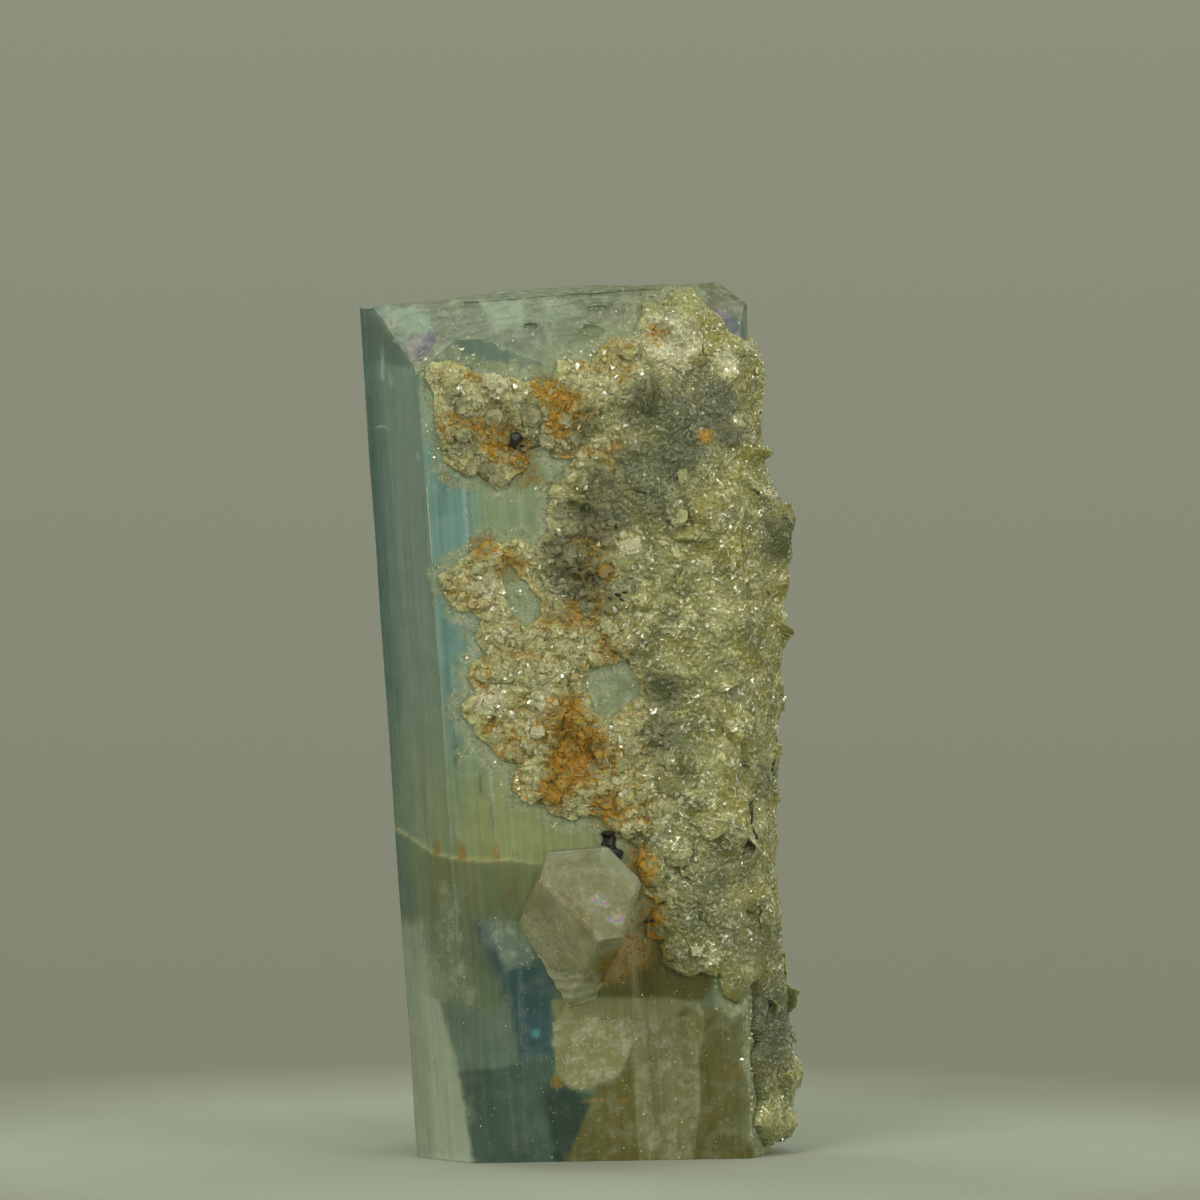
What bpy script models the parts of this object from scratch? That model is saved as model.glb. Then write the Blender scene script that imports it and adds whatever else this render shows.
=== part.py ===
"""Aquamarine with muscovite: a leaning beryl prism, the mica crust on it, and a clear crystal on its front.

Metres, +Z up. The front of the specimen looks along -Y. The origin is under its middle, on its foot.
"""

import math
import random

import bmesh
import bpy
from mathutils import Matrix, Vector, noise
from mathutils.bvhtree import BVHTree

MM = 0.001

# The prism: four driving sides of a hexagon whose angles are all 120 degrees, which sets the other two.
FRONT = 15.75 * MM
RIGHT_FRONT = 3.4 * MM
RIGHT_BACK = 10.5 * MM
LEFT_FRONT = 4.25 * MM
LEFT_BACK = RIGHT_FRONT + RIGHT_BACK - LEFT_FRONT
BACK = FRONT + RIGHT_FRONT - LEFT_BACK
SIDES = (FRONT, RIGHT_FRONT, RIGHT_BACK, BACK, LEFT_BACK, LEFT_FRONT)
FRONT_SIDE, RIGHT_FRONT_SIDE, RIGHT_BACK_SIDE, BACK_SIDE, LEFT_BACK_SIDE, LEFT_FRONT_SIDE = range(6)
PRISM_HEIGHT = 43.1 * MM
TURN = math.radians(10)
LEAN = math.radians(3.85)

# The two right hand faces close in a little towards the foot.
TAPER = math.radians(1.75)
FOOT_OF_LEFT_EDGE = Vector((-5.6 * MM, -4.95 * MM, 0))

# Solids that lie on each other stay this far apart.
GAP = 0.3 * MM
BLOCK = 0.12

STANDING = Matrix.Translation(FOOT_OF_LEFT_EDGE) @ Matrix.Rotation(-LEAN, 4, "Y")
AXIS = (STANDING.to_3x3() @ Vector((0, 0, 1))).normalized()


def side_direction(side):
    """The way along one prism face, walking round the prism with the face on the right."""
    heading = TURN + side * math.radians(60)
    return Vector((math.cos(heading), math.sin(heading), 0))


def side_normal(side):
    """The way one prism face looks, leaning with the crystal."""
    direction = side_direction(side)
    return (STANDING.to_3x3() @ Vector((direction.y, -direction.x, 0))).normalized()


def tapered_normal(side):
    """The way one of the two right hand faces looks, turned down a little by the taper."""
    return side_normal(side) * math.cos(TAPER) - AXIS * math.sin(TAPER)


def side_start(side):
    """The foot of the edge where one prism face begins, before the crystal leans."""
    start = Vector((0, 0, 0))
    for earlier in range(side):
        start += side_direction(earlier) * SIDES[earlier]
    return start


def on_side(side, along, up, out=0.0):
    """A point on one prism face: along it from its first edge, up the crystal and out from the face."""
    flat = side_start(side) + side_direction(side) * along + Vector((0, 0, up))
    return STANDING @ flat + side_normal(side) * out


def on_top(side, along, inward):
    """A point on the flat top, behind the upper edge of one prism face."""
    return on_side(side, along, PRISM_HEIGHT, -inward)


def plane_of(a, b, c, outside):
    """The plane through three points, as a point and the normal that faces the outside point."""
    normal = (b - a).cross(c - a).normalized()
    return a, normal if normal.dot(outside - a) > 0 else -normal


def object_of(name, body, collection):
    """A new object that takes over a bmesh."""
    mesh = bpy.data.meshes.new(name)
    body.to_mesh(mesh)
    body.free()
    made = bpy.data.objects.new(name, mesh)
    collection.objects.link(made)
    return made


def crystal_of(name, planes, collection, outset=0.0):
    """A convex crystal: what is left of a block inside all its face planes, each moved out by outset."""
    body = bmesh.new()
    bmesh.ops.create_cube(body, size=BLOCK)
    for point, normal in planes:
        whole = body.verts[:] + body.edges[:] + body.faces[:]
        cut = bmesh.ops.bisect_plane(
            body, geom=whole, dist=1e-7, plane_co=point + normal * outset, plane_no=normal, clear_outer=True
        )
        rim = [item for item in cut["geom_cut"] if isinstance(item, bmesh.types.BMEdge)]
        if rim:
            bmesh.ops.contextual_create(body, geom=rim)
    bmesh.ops.recalc_face_normals(body, faces=body.faces)
    return object_of(name, body, collection)


def boolean(target, operation, cutter, own_overlaps=False):
    """Joins or cuts the target's mesh with the cutter at once, and hides the cutter."""
    modifier = target.modifiers.new(operation.title(), "BOOLEAN")
    modifier.operation = operation
    modifier.object = cutter
    modifier.solver = "EXACT"
    modifier.use_self = own_overlaps
    apply_modifiers(target)
    cutter.hide_render = True
    cutter.display_type = "WIRE"


def apply_modifiers(target):
    """Replaces the object's mesh by what its modifiers make of it."""
    bpy.context.view_layer.update()
    seen = target.evaluated_get(bpy.context.evaluated_depsgraph_get())
    mesh = bpy.data.meshes.new_from_object(seen)
    target.modifiers.clear()
    target.data = mesh


def keep_largest_body(target):
    """Drops the loose crumbs that a cut leaves beside the main body."""
    body = bmesh.new()
    body.from_mesh(target.data)
    unseen = set(body.verts)
    bodies = []
    while unseen:
        found = {unseen.pop()}
        edge = list(found)
        while edge:
            vertex = edge.pop()
            for link in vertex.link_edges:
                other = link.other_vert(vertex)
                if other in unseen:
                    unseen.remove(other)
                    found.add(other)
                    edge.append(other)
        bodies.append(found)
    bodies.sort(key=len)
    crumbs = [vertex for found in bodies[:-1] for vertex in found]
    bmesh.ops.delete(body, geom=crumbs, context="VERTS")
    body.to_mesh(target.data)
    body.free()


def block_on(name, middle, across, up, out, size, collection):
    """A box whose three sides lie along the given ways, for a ledge or a pit."""
    body = bmesh.new()
    bmesh.ops.create_cube(body, size=1)
    frame = Matrix((across.normalized(), up.normalized(), out.normalized())).transposed().to_4x4()
    scale = Matrix.Diagonal((*size, 1))
    bmesh.ops.transform(body, matrix=Matrix.Translation(middle) @ frame @ scale, verts=body.verts)
    return object_of(name, body, collection)


def material(name, colour, roughness, transmission=0.0, ior=1.5):
    """A Principled material of one plain colour."""
    made = bpy.data.materials.new(name)
    made.use_nodes = True
    shader = made.node_tree.nodes["Principled BSDF"]
    shader.inputs["Base Color"].default_value = (*colour, 1)
    shader.inputs["Roughness"].default_value = roughness
    shader.inputs["Metallic"].default_value = 0
    shader.inputs["Transmission Weight"].default_value = transmission
    shader.inputs["IOR"].default_value = ior
    made.diffuse_color = (*colour, 1)
    return made


# The aquamarine.

# The upper front edge is broken back along three faces: a bevel all along, a chip at the left corner, and a
# steep face that falls to the right.
BEVEL_DROP = 1.9 * MM
BEVEL_DEPTH = 2.5 * MM
CHIP_DROP = 3.4 * MM
CHIP_WIDTH = 1.85 * MM
CHIP_BACK = 3.2 * MM
STEEP_START = 3.45 * MM
STEEP_END = 6.9 * MM
STEEP_DROP = 3.7 * MM
STEEP_DEPTH = 2.5 * MM

# The right end of the top is chipped away in two small faces.
RIGHT_CHIP_DROP = 1.5 * MM
RIGHT_CHIP_WIDTH = 2.6 * MM

# Growth ledges on the prism faces: side, start along, width, foot, height. Each stands this far proud.
LEDGE_PROUD = 0.09 * MM
LEDGES = (
    (LEFT_FRONT_SIDE, 0.55, 1.15, 4.0, 33.0),
    (LEFT_FRONT_SIDE, 2.35, 0.75, 9.0, 27.5),
    (LEFT_BACK_SIDE, 0.9, 2.1, 3.0, 34.0),
    (LEFT_BACK_SIDE, 4.2, 1.3, 8.0, 31.0),
    (LEFT_BACK_SIDE, 6.7, 2.2, 2.0, 25.0),
    (BACK_SIDE, 0.8, 2.6, 5.0, 33.0),
    (BACK_SIDE, 4.3, 1.2, 11.0, 29.0),
    (BACK_SIDE, 6.4, 2.0, 1.5, 22.0),
    (FRONT_SIDE, 3.1, 2.4, 2.2, 6.4),
)

# Terraces on the flat top: hexagons like the prism, each a share of its size, one on the other.
TERRACES = ((0.66, 0.10 * MM), (0.5, 0.20 * MM), (0.34, 0.30 * MM))
TERRACE_BACK = 1.4 * MM

# Square-edged etch pits in the bevel: along the front, below the top, width, height.
PITS = ((9.6, 0.75, 1.1, 0.45), (9.1, 1.95, 1.5, 0.4), (5.9, 1.4, 0.8, 0.35))
PIT_DEPTH = 0.3 * MM


def prism_planes():
    """The six prism faces, the top, the breaks along its front edge, and the flat foot it stands on."""
    planes = []
    for side in range(6):
        normal = tapered_normal(side) if side in (RIGHT_FRONT_SIDE, RIGHT_BACK_SIDE) else side_normal(side)
        planes.append((on_side(side, 0, PRISM_HEIGHT), normal))
    planes.append((on_side(FRONT_SIDE, 0, PRISM_HEIGHT), AXIS))
    above = on_side(FRONT_SIDE, FRONT / 2, 2 * PRISM_HEIGHT, FRONT)
    planes.append(
        plane_of(
            on_side(FRONT_SIDE, 0, PRISM_HEIGHT - BEVEL_DROP),
            on_side(FRONT_SIDE, FRONT, PRISM_HEIGHT - BEVEL_DROP),
            on_top(FRONT_SIDE, 0, BEVEL_DEPTH),
            above,
        )
    )
    planes.append(
        plane_of(
            on_side(FRONT_SIDE, 0, PRISM_HEIGHT - CHIP_DROP),
            on_side(FRONT_SIDE, CHIP_WIDTH, PRISM_HEIGHT - BEVEL_DROP),
            on_side(LEFT_FRONT_SIDE, LEFT_FRONT - CHIP_BACK, PRISM_HEIGHT),
            above,
        )
    )
    planes.append(
        plane_of(
            on_side(FRONT_SIDE, STEEP_START, PRISM_HEIGHT - BEVEL_DROP),
            on_side(FRONT_SIDE, STEEP_END, PRISM_HEIGHT - STEEP_DROP),
            on_top(FRONT_SIDE, FRONT, STEEP_DEPTH),
            above,
        )
    )
    right_of_it = on_side(RIGHT_FRONT_SIDE, RIGHT_FRONT / 2, 2 * PRISM_HEIGHT, FRONT)
    planes.append(
        plane_of(
            on_side(RIGHT_FRONT_SIDE, 0, PRISM_HEIGHT - RIGHT_CHIP_DROP),
            on_side(RIGHT_BACK_SIDE, 0, PRISM_HEIGHT - 0.8 * RIGHT_CHIP_DROP),
            on_top(RIGHT_FRONT_SIDE, 0, RIGHT_CHIP_WIDTH),
            right_of_it,
        )
    )
    planes.append((Vector((0, 0, 0)), Vector((0, 0, -1))))
    return planes


def add_ledges(prism, helpers):
    """Raises the thin growth ledges of the prism faces, one after the other."""
    for side, along, width, foot, height in LEDGES:
        middle = on_side(side, (along + width / 2) * MM, (foot + height / 2) * MM)
        size = (width * MM, height * MM, 2 * LEDGE_PROUD)
        across = STANDING.to_3x3() @ side_direction(side)
        ledge = block_on("ledge", middle, across, AXIS, side_normal(side), size, helpers)
        boolean(prism, "UNION", ledge)


def add_terraces(prism, helpers):
    """Builds up the flat top in hexagonal steps, behind the bevel."""
    corners = [on_side(side, 0, PRISM_HEIGHT) for side in range(6)]
    centre = sum(corners, Vector()) / 6 - side_normal(FRONT_SIDE) * TERRACE_BACK
    for share, height in TERRACES:
        body = bmesh.new()
        floor = [body.verts.new(centre + (corner - centre) * share - AXIS * height) for corner in corners]
        bottom = body.faces.new(floor)
        raised = bmesh.ops.extrude_face_region(body, geom=[bottom])["geom"]
        lifted = [item for item in raised if isinstance(item, bmesh.types.BMVert)]
        bmesh.ops.translate(body, vec=AXIS * 2 * height, verts=lifted)
        bmesh.ops.recalc_face_normals(body, faces=body.faces)
        boolean(prism, "UNION", object_of("terrace", body, helpers))


def cut_pits(prism, helpers):
    """Sinks the square etch pits into the bevelled front edge of the top."""
    bevel_foot = on_side(FRONT_SIDE, 0, PRISM_HEIGHT - BEVEL_DROP)
    bevel_up = (on_top(FRONT_SIDE, 0, BEVEL_DEPTH) - bevel_foot).normalized()
    across = STANDING.to_3x3() @ side_direction(FRONT_SIDE)
    out = across.cross(bevel_up)
    tree = BVHTree.FromObject(prism, bpy.context.evaluated_depsgraph_get())
    for along, below, width, height in PITS:
        start = on_side(FRONT_SIDE, along * MM, PRISM_HEIGHT - below * MM, FRONT)
        middle, _, _, _ = tree.ray_cast(start, -side_normal(FRONT_SIDE))
        size = (width * MM, height * MM, 2 * PIT_DEPTH)
        boolean(prism, "DIFFERENCE", block_on("pit", middle, across, bevel_up, out, size, helpers))


def make_prism(parts, helpers):
    prism = crystal_of("aquamarine_prism", prism_planes(), parts)
    add_ledges(prism, helpers)
    cut_pits(prism, helpers)
    add_terraces(prism, helpers)
    prism.data.materials.clear()
    prism.data.materials.append(material("aquamarine", (0.22, 0.36, 0.34), 0.12, 0.8, 1.577))
    return prism


# The clear crystal: a short hexagonal crystal that stands out of the front face, and points up and right.
# Its tip is given by how far along, up and out of the front face it is.
CLEAR_ALONG = 6.35 * MM
CLEAR_UP = 13.4 * MM
CLEAR_OUT = 3.7 * MM
CLEAR_AXIS = Vector((0.25, -0.766, 0.59)).normalized()
CLEAR_ROLL = math.radians(26)

# How far each of its six faces is from its axis, and the narrow bevels between every other face and the tip.
CLEAR_REACH = (2.7 * MM, 2.68 * MM, 2.5 * MM, 2.23 * MM, 2.8 * MM, 1.75 * MM)
CLEAR_BEVEL_TILT = math.radians(50)
CLEAR_BEVEL_WIDTH = 0.22 * MM


def clear_crystal_planes():
    """Six prism faces and a flat tip with three narrow bevels round it. Its root is left long."""
    tip = on_side(FRONT_SIDE, CLEAR_ALONG, CLEAR_UP, CLEAR_OUT)
    across = CLEAR_AXIS.cross(Vector((0, 0, 1))).normalized()
    up = across.cross(CLEAR_AXIS).normalized()
    planes = [(tip, CLEAR_AXIS)]
    for face, reach in enumerate(CLEAR_REACH):
        angle = CLEAR_ROLL + face * math.radians(60)
        normal = across * math.cos(angle) + up * math.sin(angle)
        planes.append((tip + normal * reach, normal))
        if face % 2:
            tilted = normal * math.cos(CLEAR_BEVEL_TILT) + CLEAR_AXIS * math.sin(CLEAR_BEVEL_TILT)
            planes.append((tip + normal * (reach - CLEAR_BEVEL_WIDTH), tilted.normalized()))
    return planes


def make_clear_crystal(parts):
    """The crystal ends where it meets the prism's front face."""
    face = side_normal(FRONT_SIDE)
    seat = (on_side(FRONT_SIDE, 0, 0, GAP), -face)
    clear = crystal_of("clear_crystal", [*clear_crystal_planes(), seat], parts)
    clear.data.materials.append(material("clear_beryl", (0.72, 0.72, 0.62), 0.1, 0.8, 1.57))
    return clear


# The muscovite crust, placed by how far round the prism it lies from the front left edge, and how far up.

# Its ragged left limit on the front face, as height and distance round.
LEFT_LIMIT = (
    (0.0, 15.9), (2.75, 15.6), (5.25, 15.2), (7.25, 14.3), (8.25, 12.9), (9.0, 11.1), (11.25, 10.0),
    (13.75, 9.6), (15.75, 9.6), (16.5, 6.9), (18.25, 4.1), (20.25, 2.7), (22.25, 1.4), (24.25, 1.9),
    (26.25, 2.4), (27.5, 1.8), (28.75, 1.1), (31.25, 1.4), (32.5, 2.1), (34.25, 1.4), (36.25, 1.0),
    (39.0, 1.2), (44.0, 1.6),
)

# Its upper limit, as distance round and height.
UPPER_LIMIT = (
    (0.0, 39.2), (2.5, 39.5), (4.0, 38.4), (5.5, 39.1), (7.0, 39.4), (9.0, 39.8), (11.0, 40.8),
    (12.5, 42.0), (13.8, 42.6), (15.0, 41.4), (16.0, 40.2), (18.0, 40.3), (20.0, 39.4), (24.0, 36.5),
    (28.0, 33.0),
)

# Its limit on the right back face, as height and distance round.
BACK_LIMIT = (
    (0.0, 22.4), (4.0, 21.6), (9.0, 23.8), (14.0, 25.4), (19.0, 24.6), (24.0, 26.6), (30.0, 25.2),
    (36.0, 23.4), (44.0, 22.0),
)

# Bare windows in it: distance round, height, half width, half height.
WINDOWS = (
    (3.3, 32.4, 2.9, 1.9), (5.8, 34.3, 1.5, 1.2), (4.3, 27.9, 1.4, 1.4), (8.5, 23.3, 1.9, 1.6),
    (22.6, 30.0, 1.6, 2.1), (23.6, 17.0, 1.8, 1.4),
)

# Swellings of its surface: distance round, height, half width, extra depth.
SWELLINGS = (
    (13.6, 41.2, 1.4, 0.5), (11.9, 37.3, 1.8, 0.4), (7.4, 29.4, 2.4, 0.35), (3.0, 36.6, 1.7, 0.25),
    (5.6, 21.2, 2.0, 0.4), (22.2, 25.5, 2.4, 0.5),
)

# No part of it grows farther round than this.
CRUST_REACH = FRONT + RIGHT_FRONT + 0.8 * RIGHT_BACK

# How far it stands out along the right hand edge of the prism, as height and depth.
EDGE_DEPTH = (
    (0.0, 1.1), (3.6, 1.25), (5.6, 1.05), (7.6, 0.8), (10.6, 0.6), (13.6, 0.6), (15.6, 0.5), (17.6, 0.6),
    (20.6, 0.9), (22.6, 1.45), (25.6, 1.6), (27.6, 1.75), (29.2, 2.3), (30.8, 2.4), (31.8, 1.7), (32.8, 0.6),
    (34.6, 0.4), (36.6, 0.5), (38.6, 0.75), (44.0, 0.6),
)
EDGE_REACH = 2.8

CRUST_DEPTH = 0.58 * MM
CRUST_EXTRA = 0.42 * MM
THINNEST = 0.38 * MM

# At its limit it has this share of its depth, which it gains over one millimetre.
RIM_SHARE = 0.6

# How often its limit, its rolling surface and its lumps change, for each millimetre.
RAGGED_PER_MM = 0.8
ROLLING_PER_MM = 0.45
LUMPY_PER_MM = 1.3

LUMP_SPACING = 0.88 * MM
LUMP_RADIUS = 0.88 * MM
RAGGEDNESS = 0.8
LUMP_SEED = 11
VOXEL = 0.26 * MM
CRUST_TRIANGLES = 3600

# Mica books: flat hexagons grown out of the crust.
BOOK_COUNT = 135
BOOK_RADIUS = (0.6 * MM, 1.15 * MM)
BOOK_THICKNESS = 0.32
BOOK_SPREAD = 0.85
BOOK_RISE = 0.12 * MM
BOOK_SEED = 5

# Books start this far inside the crust's limit, in millimetres, and above this height.
BOOK_INSET = 0.2
BOOK_FOOT = 0.9 * MM


def between(limit, at):
    """The value of a limit, read between its points."""
    for (low, first), (high, second) in zip(limit, limit[1:]):
        if at <= high:
            share = max(0.0, (at - low) / (high - low))
            return first + (second - first) * share
    return limit[-1][1]


def unevenness(round_mm, up_mm, per_mm, layer):
    """A smooth random value between -1 and 1 that changes about per_mm times in each millimetre."""
    return noise.noise(Vector((round_mm * per_mm, up_mm * per_mm, layer)))


def cover(round_mm, up_mm):
    """Above 0 where the crust grows, in millimetres to its edge."""
    inside = min(
        round_mm - between(LEFT_LIMIT, up_mm),
        between(UPPER_LIMIT, round_mm) - up_mm,
        between(BACK_LIMIT, up_mm) - round_mm,
    )
    for window_round, window_up, half_width, half_height in WINDOWS:
        reach = math.hypot((round_mm - window_round) / half_width, (up_mm - window_up) / half_height)
        inside = min(inside, (reach - 1) * min(half_width, half_height))
    return inside + RAGGEDNESS * unevenness(round_mm, up_mm, RAGGED_PER_MM, 3.1)


def depth_at(round_mm, up_mm, inside):
    """How thick the crust is."""
    rolling = unevenness(round_mm, up_mm, ROLLING_PER_MM, 7.7)
    lumpy = unevenness(round_mm, up_mm, LUMPY_PER_MM, 1.2)
    depth = CRUST_DEPTH + CRUST_EXTRA * (rolling + lumpy / 2)
    for swell_round, swell_up, half_width, extra in SWELLINGS:
        away = math.hypot(round_mm - swell_round, up_mm - swell_up) / half_width
        depth += extra * MM * max(0.0, 1 - away * away)
    thinned = min(1.0, RIM_SHARE + (1 - RIM_SHARE) * max(inside, 0))
    depth = max(THINNEST, depth * thinned)
    from_edge = (round_mm - (FRONT + RIGHT_FRONT) / MM) / EDGE_REACH
    near_edge = max(0.0, 1 - from_edge * from_edge)
    return depth + (between(EDGE_DEPTH, up_mm) * MM - depth) * near_edge


def side_of(round_m):
    """The prism face at a distance round the prism, and the distance along it."""
    side = 0
    while round_m > SIDES[side]:
        round_m -= SIDES[side]
        side += 1
    return side, round_m


def surface_point(tree, round_m, up_m):
    """Where a line from outside, square to the prism face, meets the surface, and the way it looks there."""
    side, along = side_of(round_m)
    start = on_side(side, along, up_m, FRONT)
    place, normal, _, _ = tree.ray_cast(start, -side_normal(side))
    return place, normal


def turned_to(normal, spin):
    """A rotation that takes +Z to the normal, turned about it by spin."""
    return normal.to_track_quat("Z", "Y").to_matrix().to_4x4() @ Matrix.Rotation(spin, 4, "Z")


def grow_mat(tree, helpers):
    """The crust's body: hundreds of low lumps on the prism faces, fused into one mat of fewer triangles."""
    dice = random.Random(LUMP_SEED)
    body = bmesh.new()
    rows = int(PRISM_HEIGHT / LUMP_SPACING) + 1
    columns = int(CRUST_REACH / LUMP_SPACING)
    for row in range(rows):
        for column in range(columns):
            round_m = (column + dice.uniform(0.1, 0.9)) * LUMP_SPACING
            up_m = (row + dice.uniform(0.1, 0.9)) * LUMP_SPACING
            inside = cover(round_m / MM, up_m / MM)
            if inside < 0:
                continue
            place, normal = surface_point(tree, round_m, up_m)
            if place is None:
                continue
            depth = depth_at(round_m / MM, up_m / MM, inside) * dice.uniform(0.85, 1.2)
            radius = LUMP_RADIUS * dice.uniform(0.85, 1.15)
            shape = Matrix.Diagonal((radius, radius, depth + GAP, 1))
            matrix = Matrix.Translation(place) @ turned_to(normal, dice.uniform(0, math.tau)) @ shape
            bmesh.ops.create_icosphere(body, subdivisions=2, radius=1, matrix=matrix)
    mat = object_of("crust_mat", body, helpers)
    fuse = mat.modifiers.new("Fuse", "REMESH")
    fuse.mode = "VOXEL"
    fuse.voxel_size = VOXEL
    apply_modifiers(mat)
    thin = mat.modifiers.new("Thin out", "DECIMATE")
    thin.ratio = CRUST_TRIANGLES / (2 * len(mat.data.polygons))
    apply_modifiers(mat)
    return mat


def grow_books(mat, helpers):
    """Mica books set in the mat's outer surface, each tilted its own way and sunk to about half."""
    dice = random.Random(BOOK_SEED)
    body = bmesh.new()
    tree = BVHTree.FromObject(mat, bpy.context.evaluated_depsgraph_get())
    made = 0
    while made < BOOK_COUNT:
        round_m = dice.uniform(0, CRUST_REACH)
        up_m = dice.uniform(BOOK_FOOT, PRISM_HEIGHT)
        if cover(round_m / MM, up_m / MM) < BOOK_INSET:
            continue
        place, normal = surface_point(tree, round_m, up_m)
        if place is None:
            continue
        made += 1
        lean = Vector([dice.uniform(-BOOK_SPREAD, BOOK_SPREAD) for _ in range(3)])
        radius = dice.uniform(*BOOK_RADIUS)
        shape = Matrix.Diagonal((radius, radius * dice.uniform(0.75, 1), radius, 1))
        facing = turned_to((normal + lean).normalized(), dice.uniform(0, math.tau))
        bmesh.ops.create_cone(
            body,
            cap_ends=True,
            segments=6,
            radius1=1,
            radius2=0.86,
            depth=BOOK_THICKNESS,
            matrix=Matrix.Translation(place + normal * BOOK_RISE) @ facing @ shape,
        )
    return object_of("mica_books", body, helpers)


def make_crust(prism, parts, helpers):
    """Mat and books in one body, cut clear of the prism, of the clear crystal and of the ground."""
    prism_tree = BVHTree.FromObject(prism, bpy.context.evaluated_depsgraph_get())
    mat = grow_mat(prism_tree, helpers)
    books = grow_books(mat, helpers)
    helpers.objects.unlink(mat)
    parts.objects.link(mat)
    mat.name = "muscovite_crust"
    boolean(mat, "UNION", books, own_overlaps=True)
    prism_room = crystal_of("prism_room", prism_planes()[:-1], helpers, GAP)
    boolean(mat, "DIFFERENCE", prism_room)
    boolean(mat, "DIFFERENCE", crystal_of("clear_room", clear_crystal_planes(), helpers, GAP))
    body = bmesh.new()
    bmesh.ops.create_cube(body, size=BLOCK, matrix=Matrix.Translation((0, 0, -BLOCK / 2)))
    boolean(mat, "DIFFERENCE", object_of("ground", body, helpers))
    keep_largest_body(mat)
    mat.data.materials.clear()
    mat.data.materials.append(material("muscovite", (0.34, 0.33, 0.17), 0.35))
    return mat


def main():
    for old in list(bpy.data.objects):
        bpy.data.objects.remove(old)
    parts = bpy.data.collections.new("aquamarine_with_muscovite")
    helpers = bpy.data.collections.new("cutters")
    for collection in (parts, helpers):
        bpy.context.scene.collection.children.link(collection)
    prism = make_prism(parts, helpers)
    make_clear_crystal(parts)
    make_crust(prism, parts, helpers)


main()
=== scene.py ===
"""Aquamarine with muscovite: the finish of the specimen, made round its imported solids."""

import math
import random

import bmesh
import bpy
import numpy as np
from mathutils import Matrix, Vector, noise
from mathutils.bvhtree import BVHTree


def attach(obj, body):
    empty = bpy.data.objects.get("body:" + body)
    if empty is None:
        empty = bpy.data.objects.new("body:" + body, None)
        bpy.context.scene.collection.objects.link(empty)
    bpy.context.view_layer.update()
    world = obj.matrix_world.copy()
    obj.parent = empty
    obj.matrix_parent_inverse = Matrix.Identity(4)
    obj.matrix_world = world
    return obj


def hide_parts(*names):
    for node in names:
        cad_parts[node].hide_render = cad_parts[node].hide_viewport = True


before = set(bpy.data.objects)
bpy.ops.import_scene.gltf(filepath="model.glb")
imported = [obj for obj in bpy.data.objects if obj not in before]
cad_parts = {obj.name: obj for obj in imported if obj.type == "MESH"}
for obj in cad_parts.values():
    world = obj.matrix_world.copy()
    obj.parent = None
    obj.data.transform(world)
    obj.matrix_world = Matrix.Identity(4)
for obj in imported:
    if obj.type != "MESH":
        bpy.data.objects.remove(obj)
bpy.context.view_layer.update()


# The camera.
# A long lens half a metre off, a little above the middle of the specimen and looking slightly down on it.

MM = 0.001
AIM = Vector((0.75 * MM, -5 * MM, 28.25 * MM))
CAMERA_DISTANCE = 500 * MM
CAMERA_RISE = math.radians(2.5)
PICTURE_WIDTH = 60 * MM
SENSOR = 36.0

lens = bpy.data.cameras.new("camera")
lens.sensor_width = SENSOR
lens.lens = SENSOR * CAMERA_DISTANCE / PICTURE_WIDTH
lens.clip_start = 10 * MM
lens.clip_end = 20
camera = bpy.data.objects.new("camera", lens)
bpy.context.scene.collection.objects.link(camera)
camera.location = AIM + CAMERA_DISTANCE * Vector((0, -math.cos(CAMERA_RISE), math.sin(CAMERA_RISE)))
camera.rotation_euler = (math.pi / 2 - CAMERA_RISE, 0, 0)
bpy.context.scene.camera = camera


# The aquamarine: shape.
# One stout beryl prism with a broken upper front edge. Its faces grew in fine upright ridges, its flat top in
# low steps, and it is cut off flat at the foot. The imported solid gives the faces; this piece gives them their
# relief.

# The crystal's own directions: along its front face, inward from it, and up its length.
FOOT_OF_LEFT_EDGE = Vector((-5.6 * MM, -4.95 * MM, 0))
TURN = math.radians(10)
LEAN = math.radians(3.85)
CRYSTAL = (
    Matrix.Translation(FOOT_OF_LEFT_EDGE)
    @ Matrix.Rotation(-LEAN, 4, "Y")
    @ Matrix.Rotation(TURN, 4, "Z")
    @ Matrix.Scale(MM, 4)
)
ALONG, INWARD, UP = (CRYSTAL.to_3x3() @ Vector(axis) / MM for axis in ((1, 0, 0), (0, 1, 0), (0, 0, 1)))


# The faces are cut into cells of this size, in millimetres, and those that look forward are cut finer.
CELL = 0.42
FINE_CUTS = 2

# Relief, in millimetres. Ledges lower than the limit are laid back, and drawn anew as finer steps.
LEDGE_LIMIT = 0.3
RIDGE_HEIGHT = 0.03
RIDGE_WIDTH = 0.5
SWELL_HEIGHT = 0.035
TERRACE_HEIGHT = 0.04
STEP_HEIGHT = 0.075
STEP_EVERY = 0.42
HACKLE_HEIGHT = 0.03
TOP_RELIEF = 0.05

# Faces are sides above one size, and plates or pits below the other, in square millimetres. Plates and pits
# above this height are rounded off, with so many rings of vertices round them and in so many rounds.
WHOLE_FACE = 30
SMALL_FACE = 3
WORN_ABOVE = 39
WORN_RINGS = 4
WORN_ROUNDS = 24
WORN_EDGE = 0.15
FLAT = math.radians(0.2)
SHARP_FROM = math.radians(28)


def merged_copy(node):
    """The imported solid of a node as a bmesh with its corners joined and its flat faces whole."""
    body = bmesh.new()
    body.from_mesh(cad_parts[node].data)
    bmesh.ops.remove_doubles(body, verts=body.verts, dist=1e-7)
    bmesh.ops.dissolve_limit(body, angle_limit=FLAT, verts=body.verts, edges=body.edges)
    return body


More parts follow.
